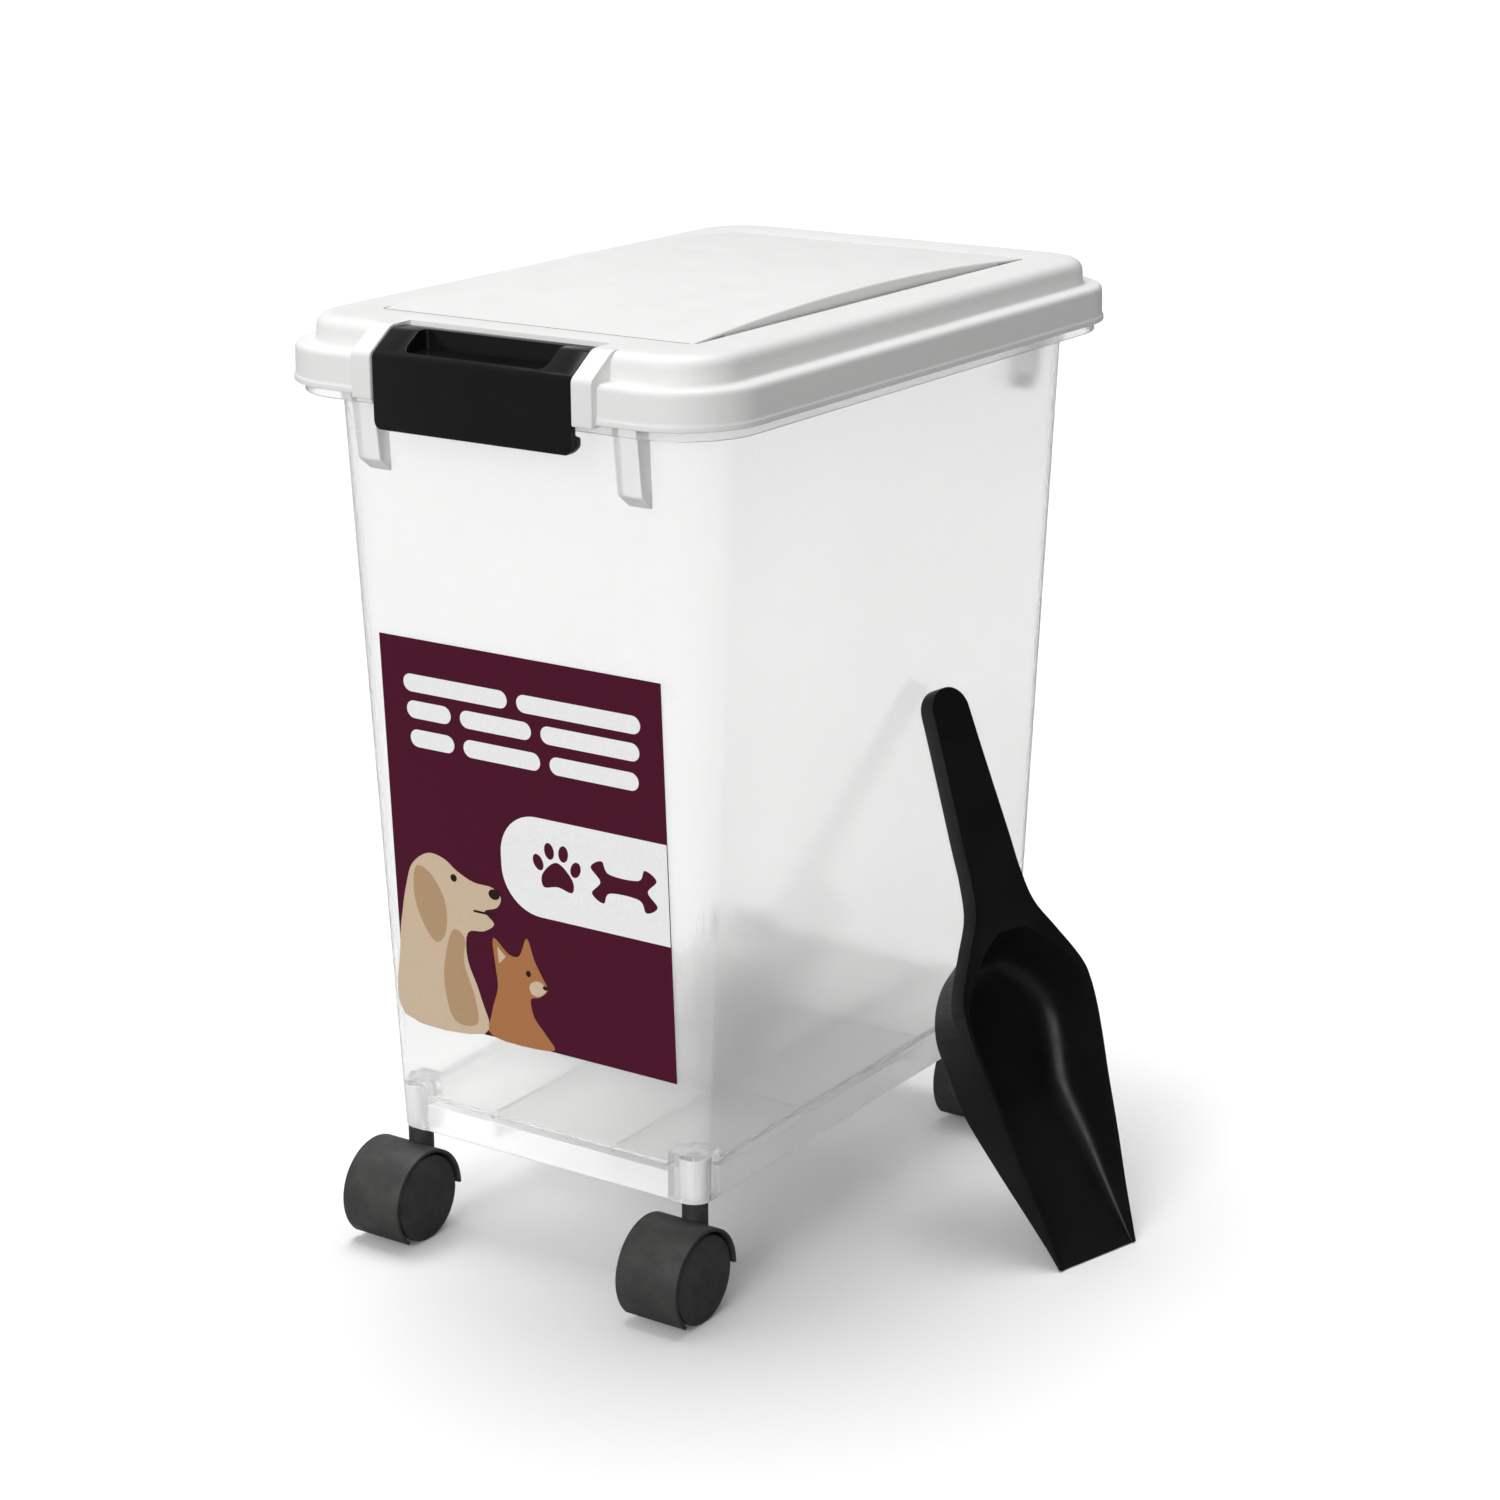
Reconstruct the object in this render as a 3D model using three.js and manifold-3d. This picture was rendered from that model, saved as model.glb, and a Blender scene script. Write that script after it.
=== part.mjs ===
// Wheeled pet food bin: a clear tapered tub on four twin-wheel casters, a lid with a latch in front and
// hinge hooks at the back, a label, and a scoop that leans on the right side.
//
// Millimetres, +Z up. The bin is drawn with its centre over the origin and the floor at z = 0.
// Its long side runs along Y, and the label faces -Y. The last lines move the origin to the middle
// of the base of the whole set, with the scoop in it.
import * as THREE from 'three';
import { mergeVertices } from 'three/addons/utils/BufferGeometryUtils.js';
import Module from 'manifold-3d';

const wasm = await Module();
wasm.setup();

// --- Driving dimensions ---------------------------------------------------------------------------

const GAP = 0.3; // clearance between pieces that touch
const CORNER_STEPS = 5; // facets in each rounded corner of the tub and the lid
const SIDES = [-1, 1]; // front, then back; or left, then right
const PAST = 1; // how far a cutter runs past the face that it cuts
const FACETS = { pin: 12, bore: 16, room: 32 };

// Tub: half widths and corner radius at the foot of its skirt and just under the lid
const FOOT = { z: 48.5, x: 82.8, y: 137.7, r: 8.6 };
const BROW = { z: 391, x: 98.3, y: 153.7, r: 24 };
const WALL = 2;
const FLOOR_TOP = 63.5;
const RIM = { x: 111.5, y: 168, r: 33, bottom: 386.5, top: 403.5 };
const RIM_ROUND = 1;
const FLOOR_FILLET = 3;
const UNDER_RIB = { thick: 1.8, bottom: 51, x: 33, y: 50 };
const GUSSET = { x: 67.3, width: 12, reach: 162, shoulder: 384, tipReach: 159, tip: 360 };
const GUSSET_ROOT = { top: 153, low: 151.3, bottom: 354 };
const SOCKET = { acrossFlats: 21, sides: 8, top: 71, bore: 5.6, boreTop: 68.6 };

// Lid: half widths, corner radius and height of its lip and of its raised crown
const LIP = { x: 114.5, y: 172, r: 36, bottom: 391, bead: 0.7, beadHeight: 2.4 };
const LEDGE = 407.5;
const CROWN = { x: 105.5, y: 163, r: 27, top: 419.1, round: 6 };
const SHEET = 2.2;
const PANEL = { x: 79.5, y: 131.7, r: 3, arch: 5.5, groove: 0.9, steps: 16 };
const PLUG = { x: 93.5, y: 149.3, r: 22, bottom: 396 };
const GASKET = { x: 109.5, y: 166, r: 31, width: 4 };

// Latch, by distance in front of the bin's middle: pivot, slope, face of the plate and hook
const PIVOT = { y: 153, z: 413.6, r: 2.4, barrel: 4.4 };
const LATCH = { halfWidth: 50.5, top: 418, slopeTop: 161.5, bend: 408.9, face: 174.7, bottom: 377.7 };
const LATCH_ROUND = { edge: 0.8, corner: 4 };
const PLATE = 3;
const HOOK = { reach: 168.4, top: 385.8, bevel: 1.5, bottom: 380.8 };
const POCKET = { halfWidth: 36, back: 157, front: 172.2, floor: 409.8 };
const CHEEK = { inner: 51.2, outer: 61.4, slopeTop: 161, face: 175.6, bottom: 390 };
const RECESS_BACK = 148.2;
const TRUNNION = 4.6; // length of each latch pin outside the latch

// Hinge: two hooks on the back of the lid, each snapped over a bar between two cheeks on the tub's rim
const HINGE = { x: 48, y: 178.5, z: 394, bar: 2.2, hook: 4.4, halfWidth: 7.5, slot: 3.6, webTop: 405 };
const BRACKET = { thick: 2.6, r: 4.2, top: 390.4, arcFrom: -60, arcTo: 180, steps: 8 };

// Label on the front wall
const LABEL = { width: 148, height: 178, thick: 0.4, z: 193.5 };

// Casters
const STEM = { x: 75.7, y: 131, r: 3.5, bottom: 39.4, top: 68, chamfer: 0.8 };
const RING = { inner: 3.8, outer: 5.3, bottom: 50, top: 66, slit: 1.2 };
const WHEEL = { r: 20, inner: 3.6, outer: 16.2, shoulder: 1.4, bore: 2.8, boreEnd: 13.4, sides: 24 };
const WHEEL_INNER_ROUND = 0.6;
const TRAIL = 14.5; // how far the wheels' axle lies from the swivel axis
const HOOD = { outer: 22.8, inner: 21.4, halfWidth: 15.6, web: 3.2, hub: 6, neck: 5.7, neckTop: 48.2 };
const HOOD_ARC = { start: 0, end: 228, steps: 16 }; // degrees round the axle, from behind over the top
const AXLE = { r: 2.5, halfLength: 13 };

// Scoop, in its own frame: x across, y from the lip to the end of the handle, z out of the bowl
const SCOOP = { length: 262.4, thick: 2, handleDepth: 8.4, handleHalf: 10.9 };
const SCOOP_BOWL = [ // distance from the lip, half width at the rim, half width at the floor, depth
  [0, 23.7, 23.6, 2], [25, 27, 26.3, 11.2], [50, 31, 29.1, 20.3], [75, 34.4, 31, 29.5],
  [95, 37.6, 33.8, 29.5], [110, 39.2, 35.3, 29.5], [122, 38.6, 31.7, 29.5], [132, 33, 24.5, 29.5],
  [139, 27, 16, 29.5], [146, 19.5, 11, 20], [152.5, 9, 5, 8.4],
];
const SCOOP_FLARE = [ // half width, distance from the lip
  [38.6, 112], [39.1, 120], [38, 126], [34.1, 134], [26.6, 146], [18.1, 160], [15.2, 175],
];
const HANDLE_END = { to: 75, steps: 4 }; // the arc round half of the handle's end, degrees
const SCOOP_POSE = { x: 200.4, y: 4, lean: 23.3, turn: -15.7 }; // on the floor; degrees

const CLEAR = { color: 0xe8ecea, roughness: 0.15, transparent: true, opacity: 0.4 };
const WHITE = { color: 0xdcdcda, roughness: 0.5 };
const BLACK_GLOSS = { color: 0x161616, roughness: 0.25 };
const BLACK_MATTE = { color: 0x2b2b2a, roughness: 0.6 };
const STEEL = { color: 0xb4b6b8, roughness: 0.3, metalness: 1 };
const SILICONE = { color: 0xc9cbc9, roughness: 0.8 };
const BURGUNDY = { color: 0x4e122b, roughness: 0.35 };

// --- Solids ---------------------------------------------------------------------------------------

// A closed solid from a three.js geometry, with its faces pointing out.
function solid(geometry) {
  const bare = geometry.clone();
  bare.deleteAttribute('normal');
  bare.deleteAttribute('uv');
  const merged = mergeVertices(bare, 1e-4);
  const points = merged.getAttribute('position');
  const corners = Array.from({ length: 3 }, () => new THREE.Vector3());
  const triangles = [];
  let volume = 0;
  for (let i = 0; i < merged.index.count; i += 3) {
    const face = [0, 1, 2].map((k) => merged.index.getX(i + k));
    if (new Set(face).size < 3) continue;
    face.forEach((vertex, k) => corners[k].fromBufferAttribute(points, vertex));
    volume += corners[0].dot(corners[1].clone().cross(corners[2]));
    triangles.push(face);
  }
  if (volume < 0) triangles.forEach((face) => face.reverse());
  const mesh = new wasm.Mesh({
    numProp: 3,
    vertProperties: new Float32Array(points.array),
    triVerts: new Uint32Array(triangles.flat()),
  });
  return new wasm.Manifold(mesh);
}

// The points of a level rounded rectangle, given by half widths, corner radius and height.
function ringPoints({ x, y, r, z }) {
  const points = [];
  const corners = [[1, 1], [-1, 1], [-1, -1], [1, -1]];
  corners.forEach(([sx, sy], quarter) => {
    for (let step = 0; step <= CORNER_STEPS; step += 1) {
      const angle = (quarter + step / CORNER_STEPS) * Math.PI / 2;
      const px = sx * (x - r) + r * Math.cos(angle);
      const py = sy * (y - r) + r * Math.sin(angle);
      points.push([px, py, z]);
    }
  });
  return points;
}

// A solid skinned over rings that have equal numbers of points, with its first and last ring filled.
function skin(rings) {
  const count = rings[0].length;
  const positions = rings.flat(2);
  const faces = [];
  rings.slice(1).forEach((_, level) => {
    for (let i = 0; i < count; i += 1) {
      const a = level * count + i;
      const b = level * count + (i + 1) % count;
      faces.push(a, b, b + count, a, b + count, a + count);
    }
  });
  [0, rings.length - 1].forEach((level) => {
    const centre = [0, 1, 2].map((axis) => rings[level].reduce((sum, p) => sum + p[axis], 0) / count);
    const hub = positions.length / 3;
    positions.push(...centre);
    for (let i = 0; i < count; i += 1) {
      const a = level * count + i;
      const b = level * count + (i + 1) % count;
      faces.push(...(level === 0 ? [hub, b, a] : [hub, a, b]));
    }
  });
  const geometry = new THREE.BufferGeometry();
  geometry.setAttribute('position', new THREE.Float32BufferAttribute(positions, 3));
  geometry.setIndex(faces);
  return solid(geometry);
}

function stack(sections) {
  return skin(sections.map(ringPoints));
}

function box(x, y, z) {
  const [size, centre] = [new THREE.Vector3(), new THREE.Vector3()];
  const bounds = new THREE.Box3(new THREE.Vector3(x[0], y[0], z[0]), new THREE.Vector3(x[1], y[1], z[1]));
  bounds.getSize(size);
  bounds.getCenter(centre);
  return solid(new THREE.BoxGeometry(...size).translate(...centre));
}

// A span between two distances on one side of the middle, in rising order.
function span(side, near, far) {
  return side < 0 ? [-far, -near] : [near, far];
}

function extrude(outline, from, to, basis) {
  const shape = new THREE.Shape(outline.map(([u, v]) => new THREE.Vector2(u, v)));
  const geometry = new THREE.ExtrudeGeometry(shape, { depth: to - from, bevelEnabled: false });
  return solid(geometry.translate(0, 0, from).applyMatrix4(basis));
}

const [X_AXIS, Y_AXIS, Z_AXIS] = [[1, 0, 0], [0, 1, 0], [0, 0, 1]].map((v) => new THREE.Vector3(...v));
const ALONG_X = new THREE.Matrix4().makeBasis(Y_AXIS, Z_AXIS, X_AXIS); // outline in Y and Z
const ALONG_Y = new THREE.Matrix4().makeBasis(Z_AXIS, X_AXIS, Y_AXIS); // outline in Z and X

// A solid of revolution round Z from [radius, height] points, or round X with ALONG_X.
function revolve(profile, sides, basis = new THREE.Matrix4()) {
  const points = profile.map(([radius, height]) => new THREE.Vector2(radius, height));
  const geometry = new THREE.LatheGeometry(points, sides);
  geometry.rotateX(Math.PI / 2).rotateZ(Math.PI / sides);
  return solid(geometry.applyMatrix4(basis));
}

function rod(radius, from, to, sides, basis) {
  return revolve([[0, from], [radius, from], [radius, to], [0, to]], sides, basis);
}

function moved(body, x, y, z) {
  const geometry = geometryOf(body);
  return solid(geometry.translate(x, y, z));
}

function geometryOf(body) {
  const mesh = body.getMesh();
  const geometry = new THREE.BufferGeometry();
  geometry.setAttribute('position', new THREE.BufferAttribute(mesh.vertProperties, 3));
  geometry.setIndex(new THREE.BufferAttribute(mesh.triVerts, 1));
  return geometry;
}

function piece(name, body, material) {
  const geometry = geometryOf(body);
  geometry.computeVertexNormals();
  const mesh = new THREE.Mesh(geometry, new THREE.MeshStandardMaterial(material));
  mesh.name = name;
  return mesh;
}

// Points on an arc in degrees, both ends included.
function arc(u, v, radius, from, to, steps) {
  return Array.from({ length: steps + 1 }, (_, i) => {
    const angle = THREE.MathUtils.degToRad(from + (to - from) * i / steps);
    return [u + radius * Math.cos(angle), v + radius * Math.sin(angle)];
  });
}

// --- Tub ------------------------------------------------------------------------------------------

// The tub's wall at a height, moved in by an inset.
function wallAt(z, inset = 0) {
  const share = (z - FOOT.z) / (BROW.z - FOOT.z);
  const at = (key) => THREE.MathUtils.lerp(FOOT[key], BROW[key], share) - inset;
  return { x: at('x'), y: at('y'), r: at('r'), z };
}

function rimAt(z, inset = 0) {
  return { x: RIM.x - inset, y: RIM.y - inset, r: RIM.r - inset, z };
}

function tubShell() {
  return stack([
    wallAt(FLOOR_TOP - WALL, WALL),
    wallAt(FOOT.z, WALL),
    wallAt(FOOT.z),
    wallAt(RIM.top - WALL),
    rimAt(RIM.top - WALL, WALL),
    rimAt(RIM.bottom, WALL),
    rimAt(RIM.bottom),
    rimAt(RIM.top - RIM_ROUND),
    rimAt(RIM.top, RIM_ROUND),
    wallAt(RIM.top, WALL),
    wallAt(FLOOR_TOP + FLOOR_FILLET, WALL),
    wallAt(FLOOR_TOP, WALL + FLOOR_FILLET),
  ]);
}

function gusset(sideX, sideY) {
  const profile = [
    [GUSSET_ROOT.top, RIM.top - WALL / 2],
    [GUSSET.reach, RIM.top - WALL / 2],
    [GUSSET.reach, GUSSET.shoulder],
    [GUSSET.tipReach, GUSSET.tip],
    [GUSSET_ROOT.low, GUSSET_ROOT.bottom],
  ];
  const outline = profile.map(([y, z]) => [sideY * y, z]);
  const centre = sideX * GUSSET.x;
  return extrude(outline, centre - GUSSET.width / 2, centre + GUSSET.width / 2, ALONG_X);
}

function socket(x, y) {
  const radius = SOCKET.acrossFlats / 2 / Math.cos(Math.PI / SOCKET.sides);
  const skinOfTub = stack([wallAt(FOOT.z), wallAt(SOCKET.top)]);
  return moved(rod(radius, FOOT.z, SOCKET.top, SOCKET.sides), x, y, 0).intersect(skinOfTub);
}

// A bar for one hinge hook, between two cheeks that reach back from under the tub's rim.
function hingeBracket(side) {
  const outline = [
    [RIM.y - WALL / 2, RIM.bottom],
    [HINGE.y, RIM.bottom],
    ...arc(HINGE.y, HINGE.z, BRACKET.r, BRACKET.arcFrom, BRACKET.arcTo, BRACKET.steps),
    [HINGE.y - BRACKET.r, BRACKET.top],
    [RIM.y - WALL / 2, BRACKET.top],
  ];
  const centre = side * HINGE.x;
  const near = HINGE.halfWidth + GAP;
  const far = near + BRACKET.thick;
  const bar = rod(HINGE.bar, centre - far, centre + far, FACETS.pin, ALONG_X);
  return extrude(outline, centre - far, centre - near, ALONG_X)
    .add(extrude(outline, centre + near, centre + far, ALONG_X))
    .add(moved(bar, 0, HINGE.y, HINGE.z));
}

function tub() {
  let body = tubShell();
  const ribTop = FLOOR_TOP - WALL / 2;
  const half = UNDER_RIB.thick / 2;
  const reach = { x: FOOT.x - WALL / 2, y: FOOT.y - WALL / 2 };
  for (const side of SIDES) {
    const [ribX, ribY] = [side * UNDER_RIB.x, side * UNDER_RIB.y];
    body = body.add(box([ribX - half, ribX + half], [-reach.y, reach.y], [UNDER_RIB.bottom, ribTop]));
    body = body.add(box([-reach.x, reach.x], [ribY - half, ribY + half], [UNDER_RIB.bottom, ribTop]));
  }
  for (const sideX of SIDES) {
    for (const sideY of SIDES) {
      const [x, y] = [sideX * STEM.x, sideY * STEM.y];
      body = body.add(gusset(sideX, sideY)).add(socket(x, y));
      const bore = rod(SOCKET.bore, FOOT.z - PAST, SOCKET.boreTop, FACETS.bore);
      body = body.subtract(moved(bore, x, y, 0));
    }
    body = body.add(hingeBracket(sideX));
  }
  return piece('tub', body, CLEAR);
}

function label() {
  const lean = Math.atan2(BROW.y - FOOT.y, BROW.z - FOOT.z);
  const plate = solid(new THREE.BoxGeometry(LABEL.width, LABEL.thick, LABEL.height));
  const sheet = piece('label', plate, BURGUNDY);
  sheet.rotation.x = lean;
  sheet.position.set(0, -wallAt(LABEL.z).y - GAP - LABEL.thick / 2, LABEL.z);
  return sheet;
}

// --- Lid ------------------------------------------------------------------------------------------

function inset(base, by, z) {
  return { x: base.x - by, y: base.y - by, r: Math.max(base.r - by, 1), z };
}

// One step of the round along the crown's upper edge, by degrees from upright to level.
function crownRound(turn) {
  const angle = THREE.MathUtils.degToRad(turn);
  const [by, below] = [1 - Math.cos(angle), 1 - Math.sin(angle)].map((share) => share * CROWN.round);
  return inset(CROWN, by, CROWN.top - below);
}

function lidShell() {
  const underTop = CROWN.top - SHEET;
  const underLedge = LEDGE - SHEET;
  const beadTop = LIP.bottom + LIP.beadHeight;
  return stack([
    inset(PLUG, WALL, underTop),
    inset(PLUG, WALL, PLUG.bottom),
    inset(PLUG, 0, PLUG.bottom),
    inset(PLUG, 0, underTop),
    inset(CROWN, SHEET, underTop),
    inset(CROWN, SHEET, underLedge),
    inset(LIP, SHEET, underLedge),
    inset(LIP, SHEET, LIP.bottom),
    inset(LIP, -LIP.bead, LIP.bottom),
    inset(LIP, -LIP.bead, beadTop),
    inset(LIP, 0, beadTop + LIP.bead),
    inset(LIP, 0, LEDGE - SHEET),
    inset(LIP, SHEET, LEDGE),
    inset(CROWN, 0, LEDGE),
    ...[0, 30, 60, 90].map(crownRound),
    inset(PANEL, -PANEL.groove, CROWN.top),
    inset(PANEL, -PANEL.groove / 2, CROWN.top - PANEL.groove),
    inset(PANEL, 0, CROWN.top),
  ]);
}

// The arched top panel, or the hollow under it, as a solid that is highest halfway along the lid.
function arch(halfX, halfY, base, spring) {
  const outline = Array.from({ length: PANEL.steps + 1 }, (_, i) => {
    const share = 1 - 2 * i / PANEL.steps;
    return [share * halfY, spring + PANEL.arch * (1 - share * share)];
  });
  outline.push([-halfY, base], [halfY, base]);
  return extrude(outline, -halfX, halfX, ALONG_X);
}

// The block between crown and ledge that the latch recess and its pivots are cut into.
function recessBlock() {
  const across = [-CHEEK.outer, CHEEK.outer];
  return box(across, [SHEET / 2 - CROWN.y, SHEET - RECESS_BACK], [LEDGE - SHEET, CROWN.top - SHEET / 2]);
}

function cheek(side) {
  const profile = [
    [CROWN.y - CROWN.round, CROWN.top],
    [CHEEK.slopeTop, CROWN.top],
    [CHEEK.face, LATCH.bend],
    [CHEEK.face, CHEEK.bottom],
    [LIP.y - SHEET, CHEEK.bottom],
    [LIP.y - SHEET, LEDGE - SHEET],
    [CROWN.y - CROWN.round, LEDGE - SHEET],
  ];
  const outline = profile.map(([y, z]) => [-y, z]);
  return extrude(outline, ...span(side, CHEEK.inner, CHEEK.outer), ALONG_X);
}

function latchRecess() {
  const across = [-CHEEK.inner, CHEEK.inner];
  const above = CROWN.top + CROWN.round;
  const beyond = -CHEEK.face - CROWN.round;
  const pocket = box(across, [beyond, -RECESS_BACK], [LEDGE, above]);
  const mouth = box(across, [beyond, SHEET + GAP - LIP.y], [CHEEK.bottom - PAST, above]);
  const pins = CHEEK.inner + TRUNNION - GAP;
  const holes = rod(PIVOT.r + GAP, -pins, pins, FACETS.pin, ALONG_X);
  return pocket.add(mouth).add(moved(holes, 0, -PIVOT.y, PIVOT.z));
}

// A hook that turns on its bracket's bar, open below so that it can be snapped off.
function hingeHook(side) {
  const web = [
    [LIP.y - WALL / 2, HINGE.z],
    [LIP.y - WALL / 2, HINGE.webTop],
    [HINGE.y + HINGE.bar, HINGE.z + HINGE.hook - HINGE.bar / 4],
    [HINGE.y, HINGE.z],
  ];
  const [from, to] = [-1, 1].map((end) => side * HINGE.x + end * HINGE.halfWidth);
  const eye = moved(rod(HINGE.hook, from, to, FACETS.bore, ALONG_X), 0, HINGE.y, HINGE.z);
  const room = rod(HINGE.bar + GAP, from - PAST, to + PAST, FACETS.bore, ALONG_X);
  const mouth = [HINGE.y - HINGE.slot / 2, HINGE.y + HINGE.slot / 2];
  const slot = box([from - PAST, to + PAST], mouth, [HINGE.z - HINGE.hook - PAST, HINGE.z]);
  return extrude(web, from, to, ALONG_X)
    .add(eye)
    .subtract(moved(room, 0, HINGE.y, HINGE.z))
    .subtract(slot);
}

function lid() {
  let body = lidShell().add(arch(PANEL.x, PANEL.y, CROWN.top - SHEET / 2, CROWN.top));
  const hollow = { x: PANEL.x - SHEET, y: PANEL.y - SHEET };
  body = body.subtract(arch(hollow.x, hollow.y, PLUG.bottom + WALL, CROWN.top - SHEET)).add(recessBlock());
  for (const side of SIDES) {
    body = body.add(cheek(side)).add(hingeHook(side));
  }
  return piece('lid', body.subtract(latchRecess()), WHITE);
}

function lidGasket() {
  const [low, high] = [RIM.top + GAP, LEDGE - SHEET - GAP];
  const hole = stack([inset(GASKET, GASKET.width, low - PAST), inset(GASKET, GASKET.width, high + PAST)]);
  const ring = stack([inset(GASKET, 0, low), inset(GASKET, 0, high)]).subtract(hole);
  return piece('lid_gasket', ring, SILICONE);
}

// --- Latch ----------------------------------------------------------------------------------------

function latchProfile() {
  const inner = LATCH.face - PLATE;
  const { edge } = LATCH_ROUND;
  const rise = (LATCH.top - LATCH.bend) / (LATCH.face - LATCH.slopeTop);
  return [
    ...arc(PIVOT.y, PIVOT.z, PIVOT.barrel, 90, 270, 6),
    [PIVOT.y + PIVOT.r, LEDGE + GAP * 2],
    [inner, LEDGE + GAP * 2],
    [inner, HOOK.top],
    [HOOK.reach, HOOK.top - HOOK.bevel],
    [HOOK.reach, HOOK.bottom],
    [inner, LATCH.bottom],
    [LATCH.face - edge, LATCH.bottom],
    [LATCH.face, LATCH.bottom + edge],
    [LATCH.face, LATCH.bend - edge],
    [LATCH.face - edge, LATCH.bend + edge * rise],
    [LATCH.slopeTop, LATCH.top],
  ];
}

function latch() {
  const { corner } = LATCH_ROUND;
  const { halfWidth } = LATCH;
  const above = LATCH.top + PAST;
  const low = LATCH.bottom + corner;
  const front = [
    [above, -halfWidth],
    [above, halfWidth],
    ...arc(low, halfWidth - corner, corner, 90, 180, 4),
    ...arc(low, corner - halfWidth, corner, 180, 270, 4),
  ];
  const outline = latchProfile().map(([y, z]) => [-y, z]);
  const depth = [-LATCH.face - PAST, PIVOT.barrel * 2 - PIVOT.y];
  let body = extrude(outline, -halfWidth, halfWidth, ALONG_X).intersect(extrude(front, ...depth, ALONG_Y));
  const pocket = { x: [-POCKET.halfWidth, POCKET.halfWidth], y: [-POCKET.front, -POCKET.back] };
  body = body.subtract(box(pocket.x, pocket.y, [POCKET.floor, above]));
  for (const side of SIDES) {
    const pin = rod(PIVOT.r, ...span(side, halfWidth - PAST, halfWidth + TRUNNION), FACETS.pin, ALONG_X);
    body = body.add(moved(pin, 0, -PIVOT.y, PIVOT.z));
  }
  return piece('front_latch', body, BLACK_GLOSS);
}

// --- Casters --------------------------------------------------------------------------------------

function hood() {
  const { start, end, steps } = HOOD_ARC;
  const outer = arc(0, 0, HOOD.outer, start, end, steps);
  const inner = arc(0, 0, HOOD.inner, end, start, steps);
  const shell = extrude([...outer, ...inner], -HOOD.halfWidth, HOOD.halfWidth, ALONG_X);
  const fan = [[0, 0], ...arc(0, 0, (HOOD.outer + HOOD.inner) / 2, start, end, steps)];
  const hub = rod(HOOD.hub, -HOOD.web, HOOD.web, FACETS.bore, ALONG_X);
  const web = extrude(fan, -HOOD.web, HOOD.web, ALONG_X).add(hub);
  const neckTop = HOOD.neckTop - WHEEL.r;
  const wheelRoom = rod(HOOD.inner, -HOOD.halfWidth, HOOD.halfWidth, FACETS.room, ALONG_X);
  const neck = moved(rod(HOOD.neck, 0, neckTop, FACETS.bore), 0, TRAIL, 0).subtract(wheelRoom);
  const stemBore = rod(STEM.r + GAP, STEM.bottom - WHEEL.r - GAP, neckTop + PAST, FACETS.bore);
  const axleBore = rod(AXLE.r + GAP, -HOOD.web - PAST, HOOD.web + PAST, FACETS.pin, ALONG_X);
  return shell.add(web).add(neck).subtract(moved(stemBore, 0, TRAIL, 0)).subtract(axleBore);
}

function wheel(side) {
  const radius = WHEEL.r / Math.cos(Math.PI / WHEEL.sides);
  const tread = WHEEL.outer - WHEEL.shoulder;
  const profile = [
    [0, WHEEL.boreEnd],
    [WHEEL.bore, WHEEL.boreEnd],
    [WHEEL.bore, WHEEL.inner],
    [radius - WHEEL_INNER_ROUND, WHEEL.inner],
    [radius, WHEEL.inner + WHEEL_INNER_ROUND],
    [radius, tread - WHEEL.shoulder],
    [radius - WHEEL.shoulder, tread],
    [0, WHEEL.outer],
  ];
  return revolve(profile.map(([r, x]) => [r, side * x]), WHEEL.sides, ALONG_X);
}

function stem() {
  return revolve([
    [0, STEM.bottom],
    [STEM.r, STEM.bottom],
    [STEM.r, STEM.top - STEM.chamfer],
    [STEM.r - STEM.chamfer, STEM.top],
    [0, STEM.top],
  ], FACETS.pin);
}

function gripRing() {
  const through = [RING.bottom - PAST, RING.top + PAST];
  const slit = box([-RING.slit / 2, RING.slit / 2], [0, RING.outer + PAST], through);
  return rod(RING.outer, RING.bottom, RING.top, FACETS.bore)
    .subtract(rod(RING.inner, ...through, FACETS.bore))
    .subtract(slit);
}

function caster(corner, x, y) {
  const group = new THREE.Group();
  group.position.set(x, y, 0);
  const truck = new THREE.Group();
  truck.position.set(0, -TRAIL, WHEEL.r);
  const axle = rod(AXLE.r, -AXLE.halfLength, AXLE.halfLength, FACETS.pin, ALONG_X);
  truck.add(piece(`${corner}_caster_hood`, hood(), BLACK_MATTE));
  truck.add(piece(`${corner}_caster_axle`, axle, STEEL));
  truck.add(piece(`${corner}_wheel_left`, wheel(-1), BLACK_MATTE));
  truck.add(piece(`${corner}_wheel_right`, wheel(1), BLACK_MATTE));
  group.add(piece(`${corner}_caster_stem`, stem(), STEEL));
  group.add(piece(`${corner}_grip_ring`, gripRing(), STEEL));
  group.add(truck);
  return group;
}

// --- Scoop ----------------------------------------------------------------------------------------

// A symmetric outline from points on its right side, walked from the lip to the handle.
function mirrored(points) {
  return [...points, ...points.map(([x, y]) => [-x, y]).reverse()];
}

// The bowl, or the hollow in it: sections from the lip to the back, joined by straight walls and floor.
// shrink moves its walls in, and front is where it begins.
function bowl(shrink, front, top) {
  return skin(SCOOP_BOWL.map(([along, rim, floor, depth]) => {
    const y = along === 0 ? front : along - shrink;
    const [low, wide, narrow] = [shrink - depth, rim - shrink, floor - shrink];
    return [[-wide, y, top], [-narrow, y, low], [narrow, y, low], [wide, y, top]];
  }));
}

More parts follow.
